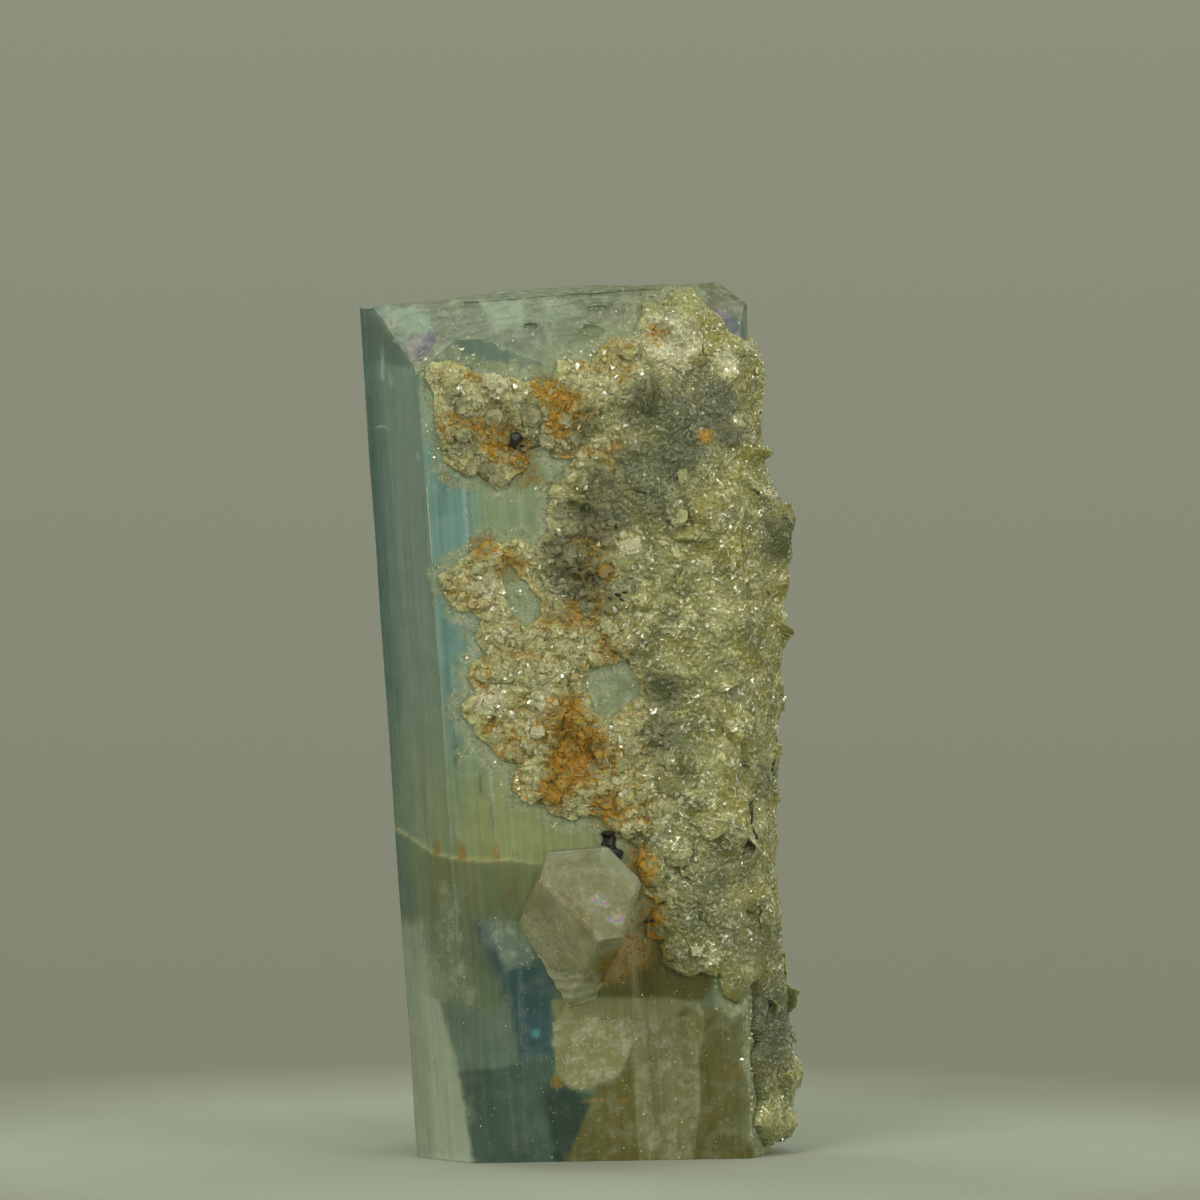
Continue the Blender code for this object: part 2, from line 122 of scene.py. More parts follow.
def drop_ledges(body):
    """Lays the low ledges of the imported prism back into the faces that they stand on."""
    sides = [
        face for face in body.faces
        if abs(face.normal.dot(UP)) < 0.1 and face.calc_area() > WHOLE_FACE * MM**2
    ]
    planes = [(face.calc_center_median(), face.normal.copy()) for face in sides]
    for point, normal in planes:
        for face in body.faces:
            height = (face.calc_center_median() - point).dot(normal)
            if face.normal.dot(normal) > 0.999 and abs(height) < LEDGE_LIMIT * MM:
                for vertex in face.verts:
                    vertex.co -= normal * (vertex.co - point).dot(normal)
    bmesh.ops.remove_doubles(body, verts=body.verts, dist=1e-6)
    bmesh.ops.dissolve_degenerate(body, edges=body.edges, dist=1e-7)
    bmesh.ops.dissolve_limit(body, angle_limit=FLAT, verts=body.verts, edges=body.edges)


def cut_into_cells(body, cell, up_limits, along_limits, inward_limits):
    """Cuts every face of the body square to the crystal's own directions, between limits in millimetres."""
    for direction, limits in ((UP, up_limits), (ALONG, along_limits), (INWARD, inward_limits)):
        for place in np.arange(*limits, cell):
            whole = body.verts[:] + body.edges[:] + body.faces[:]
            point = CRYSTAL.translation + direction * place * MM
            bmesh.ops.bisect_plane(body, geom=whole, dist=1e-9, plane_co=point, plane_no=direction)


def smooth_over(body, vertices, rounds):
    """Smooths some vertices of a body, round after round."""
    for _ in range(rounds):
        bmesh.ops.smooth_vert(
            body, verts=vertices, factor=0.5, use_axis_x=True, use_axis_y=True, use_axis_z=True
        )


def round_off(body):
    """Smooths the small faces near the top and what is beside them, but not edges between large faces."""
    worn = {
        vertex for face in body.faces if face.material_index and face.calc_center_median().z > WORN_ABOVE * MM
        for vertex in face.verts
    }
    for _ in range(WORN_RINGS):
        worn |= {edge.other_vert(vertex) for vertex in worn for edge in vertex.link_edges}
    kept = {
        vertex for vertex in worn for edge in vertex.link_edges
        if not any(face.material_index for face in edge.link_faces) and edge.calc_face_angle(0) > WORN_EDGE
    }
    body.verts.index_update()
    smooth_over(body, sorted(worn - kept, key=lambda vertex: vertex.index), WORN_ROUNDS)


def piece_of(name, body):
    """A new object that takes over a bmesh."""
    mesh = bpy.data.meshes.new(name)
    body.to_mesh(mesh)
    body.free()
    made = bpy.data.objects.new(name, mesh)
    bpy.context.scene.collection.objects.link(made)
    return made


# The crystal's directions as columns, without the scale from millimetres.
AXES = np.array(CRYSTAL.to_3x3()) / MM


def rows_of(parts, label):
    """One vector of each part of a mesh, as rows."""
    flat = np.empty(len(parts) * 3, dtype=np.float32)
    parts.foreach_get(label, flat)
    return flat.reshape(-1, 3).astype(float)


def places_in_crystal(mesh):
    """Each vertex along, inward and up the crystal in millimetres, and its normal in those directions."""
    places = rows_of(mesh.vertices, "co") - np.array(CRYSTAL.translation)
    return places @ AXES / MM, rows_of(mesh.vertex_normals, "vector") @ AXES


def noise_at(places, scale, layer=0.0):
    """Smooth noise from -1 to 1. The size of its lumps is in millimetres, for all ways or for each way."""
    scaled = places / np.array(scale) + layer * 17.3
    return np.array([noise.noise(place) for place in scaled])


def smooth_step(low, high, value):
    """0 up to one value and 1 from another, with a soft rise between them."""
    share = np.clip((value - low) / (high - low), 0, 1)
    return share * share * (3 - 2 * share)


def move_out(mesh, normals, distance):
    """Moves each vertex along its normal by a distance in millimetres."""
    moved = rows_of(mesh.vertices, "co") + (normals * distance[:, None] * MM) @ AXES.T
    mesh.vertices.foreach_set("co", moved.astype(np.float32).ravel())
    mesh.update()


hull_body = merged_copy("aquamarine_prism")
drop_ledges(hull_body)
for face in hull_body.faces:
    face.material_index = int(face.calc_area() < SMALL_FACE * MM**2)
cut_into_cells(hull_body, CELL, (-2, 45), (-9, 21), (0, 15))
fine_faces = [face for face in hull_body.faces if face.normal.dot(INWARD) < -0.3]
fine_edges = list({edge for face in fine_faces for edge in face.edges})
bmesh.ops.subdivide_edges(hull_body, edges=fine_edges, cuts=FINE_CUTS, use_grid_fill=True)
round_off(hull_body)
for face in hull_body.faces:
    face.material_index = 0
prism = piece_of("aquamarine", hull_body)
places, normals = places_in_crystal(prism.data)
along, inward, up = places.T

# Where the faces look: up for the top, up and forward for the broken front edge, level for the prism faces.
on_top = smooth_step(0.9, 0.97, normals[:, 2])
on_break = smooth_step(0.12, 0.26, normals[:, 2]) * (1 - on_top)
on_side = 1 - smooth_step(0.1, 0.2, np.abs(normals[:, 2]))
foot = smooth_step(0.05, 0.5, up + along * math.tan(LEAN))

ridges = noise_at(places, (RIDGE_WIDTH, RIDGE_WIDTH, 14)) + 0.6 * noise_at(places, (0.27, 0.27, 8), 2)
swells = noise_at(places, (2.6, 2.6, 6), 3)
steps = (up + 0.5 * noise_at(places, (2.2, 1.5, 0.9), 5) - 0.1 * along) / STEP_EVERY
treads = STEP_HEIGHT * (np.abs((steps % 1) - 0.35) - 0.3)
hackle = noise_at(places, (0.6, 0.5, 0.35), 6)
hillocks = noise_at(places, 1.6, 7) + 0.4 * noise_at(places, 0.5, 8)
growth = 3.2 * noise_at(places, (1.5, 1.5, 40), 4) + 0.25 * swells
terraces = np.floor(growth) + smooth_step(0.2, 0.8, growth % 1)
relief = on_side * (RIDGE_HEIGHT * ridges + SWELL_HEIGHT * swells + TERRACE_HEIGHT * terraces)
relief += on_break * (treads + HACKLE_HEIGHT * hackle)
relief += on_top * (TOP_RELIEF * hillocks + 0.4 * TERRACE_HEIGHT * terraces)
move_out(prism.data, normals, relief * foot)


# The aquamarine: colour.
# The colour lies in the crystal in zones: blue at its edges and low down, yellow-green above an old fracture
# that crosses it, milky where it is full of fine cracks, and iron has crept down the fracture and along
# growth tubes.

# A healed fracture that crosses the front, along and up the crystal in millimetres.
FRACTURE_LINE = (
    (-9.0, 18.4), (-4.3, 17.1), (-2.5, 16.5), (-1.7, 16.0), (-0.9, 15.45), (0.4, 15.2), (1.8, 15.0),
    (2.9, 15.0), (4.3, 14.65), (7.4, 14.3), (12.6, 14.8), (17.2, 14.9), (25.0, 16.0),
)

# Tones, as screen values: (red, green, blue).
# The back's tone is lighter than the front's: painted light on the back, which the lamps leave dim.
BACK_TONE = (142, 176, 168)
FRONT_BLUE = (108, 140, 138)
FRONT_GREY = (140, 141, 103)
EDGE_BLUE = (88, 128, 132)
LEFT_FACE = (112, 122, 115)
LEFT_RIM = (74, 96, 98)
YELLOW = (133, 134, 88)
BELOW = (98, 94, 51)
GREY_LOW = (86, 96, 76)
BREAK_TONE = (98, 103, 85)
BREAK_RIGHT = (88, 91, 62)
PURPLE_TONE = (98, 78, 116)
IRON_TONE = (142, 98, 34)
STREAK_TONE = (78, 92, 74)
GLEAM_TONE = (168, 168, 122)
THIN_MICA = (117, 123, 92)
LACE_TONE = (128, 133, 96)

# Where the upright edges of the prism are, along and inward, in millimetres. The blue is deepest there.
PRISM_EDGES = ((-2.1, 3.7), (2.7, 12.0), (11.4, 12.0), (16.7, 2.8))

# Zones on the front: an outline along and up the crystal in millimetres, a tone, how soft its edge is, how
# far the edge wanders, how strong the tone is, and how cloudy it makes the surface.
ZONES = (
    (((-0.4, 14.0), (0.4, 13.6), (0.1, 12.2), (0.3, 10.2), (0.7, 8.2), (0.9, 7.6), (-0.9, 8.2), (-2.0, 9.2),
     (-1.5, 10.9), (-0.6, 12.1)), (98, 103, 80), 0.5, 1.6, 0.7, 0.3),
    (((-5, 12.5), (-1.6, 12.0), (-0.9, 9.0), (-0.4, 5.3), (-0.1, 3.3), (0.2, -1), (-5, -1)), (146, 151, 134),
     0.7, 2.0, 0.75, 0.2),
    (((-1.6, 8.4), (-0.9, 8.2), (-0.4, 5.3), (-0.1, 3.3), (0.2, -1), (-1.6, -1)), (158, 161, 146), 0.14, 0.3,
     0.7, 0.25),
    (((1.0, 11.9), (2.4, 11.8), (3.7, 10.6), (4.9, 8.9), (4.9, 4.8), (2.6, 4.7), (2.4, 7.0), (1.9, 8.8),
     (1.5, 10.4)), (33, 62, 74), 0.45, 2.2, 0.95, 0.04),
    (((1.2, 12.1), (3.9, 11.9), (3.7, 9.6), (2.5, 9.5), (1.6, 11.1)), (108, 122, 106), 0.4, 2.0, 0.7, 0.4),
    # The pale patch at the top left, cloudy as well, is a painted highlight: the cyan-white glints of the
    # broken edge.
    (((-1.2, 43.1), (0.8, 42.8), (0.8, 41.7), (-0.5, 41.5)), (140, 164, 150), 0.25, 2.0, 0.7, 0.35),
    (((3.7, 43.0), (5.9, 43.0), (5.6, 41.7), (3.9, 41.6)), (142, 156, 138), 0.12, 1.2, 0.6, 0.3),
    (((6.6, 42.8), (7.6, 42.9), (8.6, 42.2), (8.0, 41.7), (6.8, 41.9)), (136, 146, 128), 0.15, 1.2, 0.5, 0.3),
    (((-0.9, 8.2), (0.6, 7.6), (2.4, 7.6), (2.6, 4.8), (1.7, 4.6), (0.4, 4.6), (-0.4, 4.8)), (84, 98, 88),
     0.12, 0.5, 0.85, 0.0),
    (((-0.4, 4.7), (1.7, 4.6), (2.2, 4.8), (4.5, 4.9), (4.4, 4.0), (5.6, 3.2), (8.4, 2.2), (8.4, -1),
     (0.0, -1)), (49, 66, 63), 0.1, 0.4, 0.92, 0.0),
    (((3.6, 3.8), (5.6, 3.1), (8.2, 2.1), (8.2, -1), (4.2, -1)), (16, 34, 30), 0.35, 1.0, 0.85, 0.0),
    (((8.4, 6.8), (17.5, 6.8), (17.5, -1), (4.4, -1), (6.6, 3.4)), (83, 73, 26), 0.12, 0.4, 1.0, 0.1),
    (((12.2, 6.4), (14.7, 5.9), (14.4, -1), (11.8, -1)), (81, 72, 27), 0.08, 0.2, 0.8, 0.0),
    (((8.5, 6.5), (11.0, 6.4), (12.0, 7.1), (12.3, 6.3), (11.8, 4.3), (11.8, 2.5), (11.2, -1), (8.4, -1),
     (8.4, 3.7)), (100, 91, 46), 0.1, 0.3, 0.9, 0.25),
    (((5.6, 7.9), (7.2, 8.4), (9.0, 9.2), (11.3, 9.6), (13.5, 9.0), (12.2, 7.2), (10.4, 7.4), (6.6, 7.8)),
     (74, 64, 14), 0.14, 0.5, 0.95, 0.0),
    (((4.5, 7.9), (10.4, 7.5), (11.9, 7.1), (10.3, 6.4), (8.9, 6.5), (8.0, 6.7), (4.6, 6.7)), (116, 108, 66),
     0.07, 0.2, 0.9, 0.1),
    (((4.5, 6.8), (8.3, 6.7), (8.7, 6.2), (8.3, 4.9), (7.7, 3.8), (6.6, 3.4), (5.7, 3.1), (4.6, 3.9),
     (4.4, 5.5)), (115, 106, 58), 0.1, 1.2, 0.95, 0.4),
    (((15.0, 42.3), (17.2, 42.3), (17.2, 39.2), (15.0, 39.6)), (96, 93, 76), 0.3, 1.0, 0.7, 0.2),
    (((16.3, 41.3), (17.2, 41.3), (17.2, 38.8), (16.2, 38.8)), (46, 88, 88), 0.25, 1.0, 0.7, 0.1),
    (((0.5, 39.5), (0.8, 40.3), (1.2, 40.8), (2.2, 41.1), (3.0, 41.2), (3.9, 40.9), (5.1, 40.2), (6.5, 39.6)),
     (92, 106, 100), 0.07, 0.3, 0.9, 0.0),
    (((-2.6, 43.6), (-1.9, 43.2), (-1.5, 42.3), (-0.9, 41.4), (-0.1, 39.9), (-2.6, 40.6)), (80, 90, 86), 0.12,
     0.5, 0.9, 0.0),
)


def colour_of(tone):
    """The colour that a screen value stands for."""
    share = np.array(tone, dtype=float) / 255
    return np.where(share <= 0.04045, share / 12.92, ((share + 0.055) / 1.055) ** 2.4)


def depth_inside(outline, across, height):
    """How far each place lies inside an outline, in millimetres, and below 0 outside it."""
    nearest = np.full(across.shape, np.inf)
    crossings = np.zeros(across.shape, dtype=int)
    for (x0, z0), (x1, z1) in zip(outline, outline[1:] + outline[:1]):
        length = (x1 - x0) ** 2 + (z1 - z0) ** 2
        share = np.clip(((across - x0) * (x1 - x0) + (height - z0) * (z1 - z0)) / length, 0, 1)
        from_edge = np.hypot(across - x0 - share * (x1 - x0), height - z0 - share * (z1 - z0))
        nearest = np.minimum(nearest, from_edge)
        if z0 != z1:
            passed = ((height < z0) != (height < z1)) & (across < x0 + (height - z0) * (x1 - x0) / (z1 - z0))
            crossings += passed
    return np.where(crossings % 2, nearest, -nearest)


def lay_on(colours, *layers):
    """Blends tones over the colours one after another, each where its mask is above 0."""
    for tone, mask in layers:
        colours = colours + (colour_of(tone) - colours) * mask[:, None]
    return colours


def spots_at(spots, across, height):
    """The strongest of some round spots at each place: along, up, radius and strength of each."""
    total = np.zeros(across.shape)
    for spot_along, spot_up, radius, strength in spots:
        away = np.hypot(across - spot_along, height - spot_up) / radius
        total = np.maximum(total, strength * np.clip(1.6 - away, 0, 1))
    return total


def store(mesh, label, values, kind="FLOAT", field="value"):
    """Keeps a value for each vertex on the mesh."""
    layer = mesh.attributes.new(label, kind, "POINT")
    layer.data.foreach_set(field, values.astype(np.float32).ravel())


def store_tint(mesh, colours, gain):
    """Keeps the colours, lighter than what is seen, because part of the light goes through the crystal."""
    shown = np.column_stack([np.clip(colours * gain, 0, 0.9), np.ones(len(colours))])
    store(mesh, "tint", shown, "FLOAT_COLOR", "color")


# Which places of the front lie under the crust, and how near its edge the others are, in millimetres. Places
# further off than the reach are as good as far away.
CRUST_REACH = 2.5
FAR_AWAY = 9.0
crust_tree = BVHTree.FromObject(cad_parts["muscovite_crust"], bpy.context.evaluated_depsgraph_get())
to_crust = np.full(len(places), FAR_AWAY)
covered = np.zeros(len(places))
for number in np.flatnonzero(inward < 4.5):
    vertex = prism.data.vertices[number]
    _, _, _, distance = crust_tree.find_nearest(vertex.co, CRUST_REACH * MM)
    if distance is not None:
        to_crust[number] = distance / MM
        outward = prism.data.vertex_normals[number].vector
        covered[number] = crust_tree.ray_cast(vertex.co, outward, 3 * MM)[0] is not None

wobble = 0.16 * noise_at(places, (0.9, 3, 0.9), 11) + 0.07 * noise_at(places, (0.3, 1, 0.3), 12)
front = 1 - smooth_step(3.4, 5.0, inward)
above_fracture = up - np.interp(along, *zip(*FRACTURE_LINE)) + 0.3 * wobble - 0.12 * inward
streaks = noise_at(places, (0.32, 0.32, 5), 14) + 0.5 * noise_at(places, (0.16, 0.3, 2.4), 15)
yellowing = smooth_step(27, 16, up + 1.5 * noise_at(places, 4, 13))
yellowing *= 0.35 + 0.65 * smooth_step(-1.4, 1.6, along)
to_edges = [np.hypot(along - edge_along, inward - edge_inward) for edge_along, edge_inward in PRISM_EDGES]
blue_edge = smooth_step(2.6, 0.3, np.min(to_edges, axis=0) + 2 * wobble) * (1 - front)
below = smooth_step(0.04, -0.04, above_fracture) * (0.15 + 0.85 * front)
broken_off = smooth_step(41.2, 41.7, up + 0.4 * wobble) * front
breakage = np.maximum(np.maximum(on_break, on_top), broken_off) * smooth_step(-1.6, -0.4, along)
colours = lay_on(
    np.tile(colour_of(BACK_TONE), (len(places), 1)),
    (FRONT_BLUE, front * smooth_step(-0.25, 0.25, along)),
    (FRONT_GREY, 0.75 * front * smooth_step(1.6, 3.0, along + wobble)),
    (LEFT_FACE, front * (1 - smooth_step(-0.12, 0.12, along))),
    (LEFT_RIM, smooth_step(-1.2, -2.2, along + 0.3 * wobble) * (1 - smooth_step(8, 12, inward))),
    (YELLOW, yellowing * smooth_step(-0.06, 0.06, above_fracture) * (0.4 + 0.6 * front)),
    (EDGE_BLUE, 0.7 * blue_edge),
    (BELOW, 0.85 * below * smooth_step(-3.2, -0.6, along)),
    (GREY_LOW, smooth_step(13.5, 10.5, up + wobble) * (0.4 + 0.5 * front)),
    (STREAK_TONE, 0.3 * smooth_step(0.2, 0.9, streaks) * on_side * (1 - 0.7 * below * front)),
    (BREAK_TONE, breakage * smooth_step(12, 6, along)),
    (BREAK_RIGHT, breakage * smooth_step(5, 10, along)),
)
haze = 0.3 * on_break + 0.5 * on_top + 0.3 * smooth_step(4, 0.5, up) * (1 - front)
haze += 0.12 * smooth_step(0.1, 0.7, noise_at(places, (3, 3, 7), 19)) * (1 - front)
for outline, tone, softness, wandering, strength, cloudiness in ZONES:
    depth = depth_inside(outline, along, up) + wobble * wandering
    share = smooth_step(-softness, softness, depth) * front
    colours = lay_on(colours, (tone, share * strength))
    haze = np.maximum(haze, cloudiness * share)
dust = (0.35 * haze + 0.06 * smooth_step(14, 11, up)) * front * (1 - covered)

# The bright line that light draws along the fracture is a painted highlight, and there is a purple film at two
# corners of the top.
PURPLE_SPOTS = (
    (0.1, 41.1, 0.55, 1.0), (0.7, 41.3, 0.35, 0.8), (15.9, 41.3, 0.55, 0.9), (16.3, 40.4, 0.4, 0.8),
)
gleam = np.exp(-((above_fracture - 0.08) / 0.12) ** 2) * smooth_step(5.2, 3.0, along) * front
colours = lay_on(colours, (GLEAM_TONE, 0.7 * gleam))
purple = spots_at(PURPLE_SPOTS, along, up) + 0.7 * noise_at(places, 0.3, 16)

# Marks on the front: iron in short upright streaks that end at the fracture, growth tubes above them, pale
# veils along the left edge, small dark cracks and specks, dark smudges on the broken top, and painted
# highlights, a bright blue glint low on the front and white glints high on the left face. Each: place along,
# foot, height, half width, tone and strength.
UPRIGHT_MARKS = (
    (-0.62, 15.5, 1.0, 0.16, IRON_TONE, 0.8), (0.45, 15.15, 1.3, 0.26, IRON_TONE, 0.9),
    (2.2, 15.0, 1.3, 0.2, IRON_TONE, 0.7), (1.35, 15.05, 0.22, 1.1, IRON_TONE, 0.6),
    (0.6, 19.9, 1.7, 0.13, (70, 88, 70), 0.8), (1.66, 18.4, 1.6, 0.1, (74, 92, 70), 0.8),
    (2.16, 16.4, 2.2, 0.14, (80, 96, 66), 0.7), (3.0, 17.8, 1.1, 0.07, (92, 104, 72), 0.6),
    (1.7, 24.4, 1.2, 0.17, (158, 178, 160), 0.9), (0.95, 24.6, 0.28, 0.5, (150, 172, 152), 0.6),
    (1.0, 23.6, 0.2, 0.55, (150, 172, 152), 0.5), (1.2, 20.2, 0.5, 0.5, (150, 172, 150), 0.5),
    (1.1, 19.4, 0.16, 0.6, (150, 172, 150), 0.5), (1.4, 26.1, 0.3, 0.1, (66, 84, 76), 0.7),
    (0.75, 32.5, 8.0, 0.24, (84, 116, 112), 0.6), (0.45, 20.0, 14.0, 0.14, (86, 114, 108), 0.5),
    (2.9, 13.25, 0.3, 0.14, (128, 50, 14), 0.95), (3.0, 9.95, 0.18, 0.6, (46, 60, 60), 0.6),
    # The blue mark low on the front, at 3.62 along, is a painted highlight: a bright blue glint.
    (3.62, 6.0, 0.6, 0.2, (70, 132, 152), 0.8), (4.97, 7.2, 0.4, 0.08, (48, 50, 34), 0.8),
    (6.4, 2.55, 0.25, 0.7, IRON_TONE, 0.8), (7.8, 2.4, 0.2, 0.4, IRON_TONE, 0.6),
    (8.9, 42.5, 0.5, 0.75, (80, 90, 70), 0.8), (8.7, 41.3, 0.4, 0.8, (92, 100, 80), 0.6),
    # The pale upright marks high on the left face, left of 0 along, are painted highlights: white glints.
    (5.5, 41.0, 0.6, 0.6, (92, 106, 98), 0.7), (-1.5, 39.4, 2.0, 0.07, (150, 170, 164), 0.6),
    (-1.2, 39.0, 1.2, 0.06, (150, 170, 164), 0.5), (-0.25, 35.3, 0.6, 0.08, (140, 160, 150), 0.7),
)
for mark_along, mark_foot, mark_height, half_width, tone, strength in UPRIGHT_MARKS:
    across = 1 - smooth_step(0.5, 1.2, np.abs(along - mark_along + 0.5 * wobble) / half_width)
    rising = smooth_step(-0.06, 0.14, up - mark_foot)
    rising *= 1 - smooth_step(0.4, 1.0, (up - mark_foot) / mark_height)
    colours = lay_on(colours, (tone, strength * across * rising * front))

# Iron stain, on the front and in the crust: along, up, radius and strength of its spots.
IRON_SPOTS = (
    (6.2, 38.5, 0.7, 0.9), (6.9, 37.8, 0.8, 1.0), (7.6, 38.1, 0.6, 0.8), (6.9, 36.7, 0.8, 0.95),
    (3.7, 35.8, 0.9, 0.8), (4.7, 35.3, 0.9, 0.8), (5.1, 34.1, 0.9, 0.85), (0.9, 34.1, 0.6, 0.7),
    (2.6, 30.8, 0.8, 0.75), (3.9, 29.8, 0.9, 0.75), (2.2, 28.2, 0.8, 0.6), (6.7, 27.0, 0.9, 0.6),
    (8.5, 25.2, 0.9, 0.6), (8.7, 29.1, 0.5, 0.8), (12.2, 40.8, 0.6, 0.7), (14.2, 35.5, 0.4, 1.0),
    (6.1, 22.1, 1.1, 0.95), (6.7, 20.6, 1.4, 1.1), (6.2, 19.6, 1.2, 1.2), (5.3, 18.4, 0.9, 1.0),
    (8.0, 17.2, 1.0, 0.9), (2.3, 21.8, 0.5, 0.8), (5.0, 21.4, 0.9, 0.7), (8.2, 19.7, 1.2, 0.6),
    (9.0, 14.2, 1.1, 1.1), (8.4, 10.4, 1.2, 1.5), (7.8, 9.4, 0.9, 1.5), (9.2, 10.1, 1.0, 1.3),
    (9.7, 11.8, 0.8, 1.0), (8.9, 12.6, 0.7, 1.1), (13.7, 3.4, 0.5, 0.5), (4.5, 3.7, 0.3, 1.0),
)
near_crust = 1 - smooth_step(0.3, 1.5, to_crust)
iron = spots_at(IRON_SPOTS, along, up) * np.maximum(near_crust, smooth_step(13, 10, up)) * front

# The crust thins out over the bare face in a lacy fringe, and in spots beside it: along, up, radius,
# strength.
LACE_SPOTS = (
    (8.7, 10.2, 0.9, 1.0), (7.9, 9.3, 0.6, 1.0), (9.5, 11.6, 0.7, 1.0), (9.2, 14.0, 0.8, 1.0),
    (7.3, 8.8, 0.4, 0.8), (1.0, 34.0, 0.5, 0.8), (1.4, 29.0, 0.6, 0.8), (0.9, 20.5, 0.5, 0.5),
    (1.9, 20.8, 0.8, 0.8), (4.7, 27.6, 0.7, 0.6), (8.4, 22.9, 0.6, 0.6), (2.2, 38.7, 0.5, 0.8),
    (10.5, 39.8, 0.8, 0.6),
)
lace = noise_at(places, 0.55, 17) + 0.6 * noise_at(places, 0.25, 18)
bare_foot = smooth_step(12, 10.5, up) * smooth_step(13.5, 12.5, along)
bare_foot = np.maximum(bare_foot, smooth_step(14.6, 15.4, along) * smooth_step(38.6, 39.4, up))
fringe = (1 - covered) * near_crust * (1 - on_top) * (1 - bare_foot)
laced = fringe * smooth_step(-0.4, 0.3, lace + 1.3 * (1 - smooth_step(0.3, 1.1, to_crust)) - 0.75)
lace_here = spots_at(LACE_SPOTS, along, up) * front
patchy = smooth_step(0, 0.4, lace_here) * smooth_step(-0.3, 0.3, lace + lace_here - 0.6)
laced = np.maximum(laced, patchy * (1 - covered))
veiled = smooth_step(3.0, 5.5, along) * (1 - smooth_step(0.2, 1.4, to_crust)) * (1 - bare_foot) * front
colours = lay_on(
    colours, (THIN_MICA, 0.7 * veiled * (1 - on_top)), (LACE_TONE, 0.75 * laced),
    (PURPLE_TONE, 0.85 * smooth_step(0.35, 0.8, purple) * front),
)
haze = np.maximum(haze, 0.4 * laced)

TINT_GAIN = 1.75
store_tint(prism.data, colours, TINT_GAIN)
for label, values in (
    ("cloud", haze), ("iron", iron), ("lace", laced * front), ("dust", dust),
    ("bright_flakes_and_painted_glints", 0.5 * front), ("shade", -0.4 * front),
):
    store(prism.data, label, values)


# The aquamarine: material.
# Beryl, clear to cloudy, with a glassy surface that is streaked along its length. Veils of fine cracks run
# through it, and iron has stained it from its fractures.

BERYL_IOR = 1.577
BERYL_CLEARNESS = 0.6
BERYL_ABSORPTION = (0.55, 0.74, 0.68, 1)
BERYL_DENSITY = 30.0
BERYL_STREAKS = (0.75, 0.85, 0.8, 1)
BERYL_MOTTLING = (0.2, 0.26, 0.22, 1)
BERYL_VEILS = (0.62, 0.62, 0.45, 1)
# The tone of the bright threads and of the painted glints.
BERYL_GLINTS = (0.85, 0.87, 0.74, 1)
IRON_PALE = (0.37, 0.235, 0.02, 1)
IRON_DEEP = (0.30, 0.12, 0.002, 1)
IRON_TINGE = (0.155, 0.11, 0.012, 1)
FLOAT, COLOUR, VECTOR = "NodeSocketFloat", "NodeSocketColor", "NodeSocketVector"


def plug(tree, socket, value):
    """Links a socket to another one, or sets it. None leaves it alone."""
    if isinstance(value, bpy.types.NodeSocket):
        tree.links.new(value, socket)
    elif value is not None:
        socket.default_value = value


def put(tree, kind, *values, out=0, **settings):
    """Adds a node, plugs its inputs in order, and gives one of its outputs."""
    made = tree.nodes.new(kind)
    for name, setting in settings.items():
        setattr(made, name, setting)
    for socket, value in zip(made.inputs, values):
        plug(tree, socket, value)
    return made.outputs[out]


def feed(tree, sockets, **values):
    """Plugs values into sockets by name."""
    for label, value in values.items():
        plug(tree, sockets[label.replace("_", " ")], value)


def reckon(tree, operation, *values):
    """A Math node."""
    return put(tree, "ShaderNodeMath", *values, operation=operation)


def times(tree, first, second):
    """One value times another."""
    return reckon(tree, "MULTIPLY", first, second)


def off_middle(tree, value):
    """How far a noise is from its middle."""
    return reckon(tree, "ABSOLUTE", reckon(tree, "SUBTRACT", value, 0.5))


def span(tree, value, low, high, to_low=0.0, to_high=1.0):
    """Maps a value from one range to another and keeps it inside."""
    return put(tree, "ShaderNodeMapRange", value, low, high, to_low, to_high)


def blend(tree, share, first, second, kind="MIX"):
    """Mixes two colours. Between the share and the colours lie the inputs for numbers and vectors."""
    between = [None] * 5
    settings = {"data_type": "RGBA", "blend_type": kind}
    return put(tree, "ShaderNodeMix", share, *between, first, second, out=2, **settings)


def clouds_over(tree, place, scale, detail, roughness):
    """Noise over a place."""
    return put(tree, "ShaderNodeTexNoise", place, None, scale, detail, roughness)


def kept_value(tree, label, out=2):
    """What the mesh keeps for each vertex under a label. Its outputs are colour 0, vector 1 and number 2."""
    return put(tree, "ShaderNodeAttribute", attribute_name=label, out=out)


def new_group(name, inputs, outputs):
    """A shader node group with named sockets, what it is given, and the sockets that it has to feed."""
    group = bpy.data.node_groups.new(name, "ShaderNodeTree")
    for label, kind, value in inputs:
        socket = group.interface.new_socket(label, in_out="INPUT", socket_type=kind)
        if value is not None:
            socket.default_value = value
    for label, kind in outputs:
        group.interface.new_socket(label, in_out="OUTPUT", socket_type=kind)
    given = group.nodes.new("NodeGroupInput").outputs[:len(inputs)]
    return group, given, group.nodes.new("NodeGroupOutput").inputs


def use_group(tree, group, *values):
    """Places a node group in a material and gives its outputs."""
    return put(tree, "ShaderNodeGroup", *values, node_tree=group).node.outputs


def new_material(name, **settings):
    """A material with one Principled shader, its tree, and the shader's sockets, some of them set by name."""
    made = bpy.data.materials.new(name)
    made.use_nodes = True
    surface = made.node_tree.nodes["Principled BSDF"].inputs
    feed(made.node_tree, surface, **settings)
    return made, made.node_tree, surface
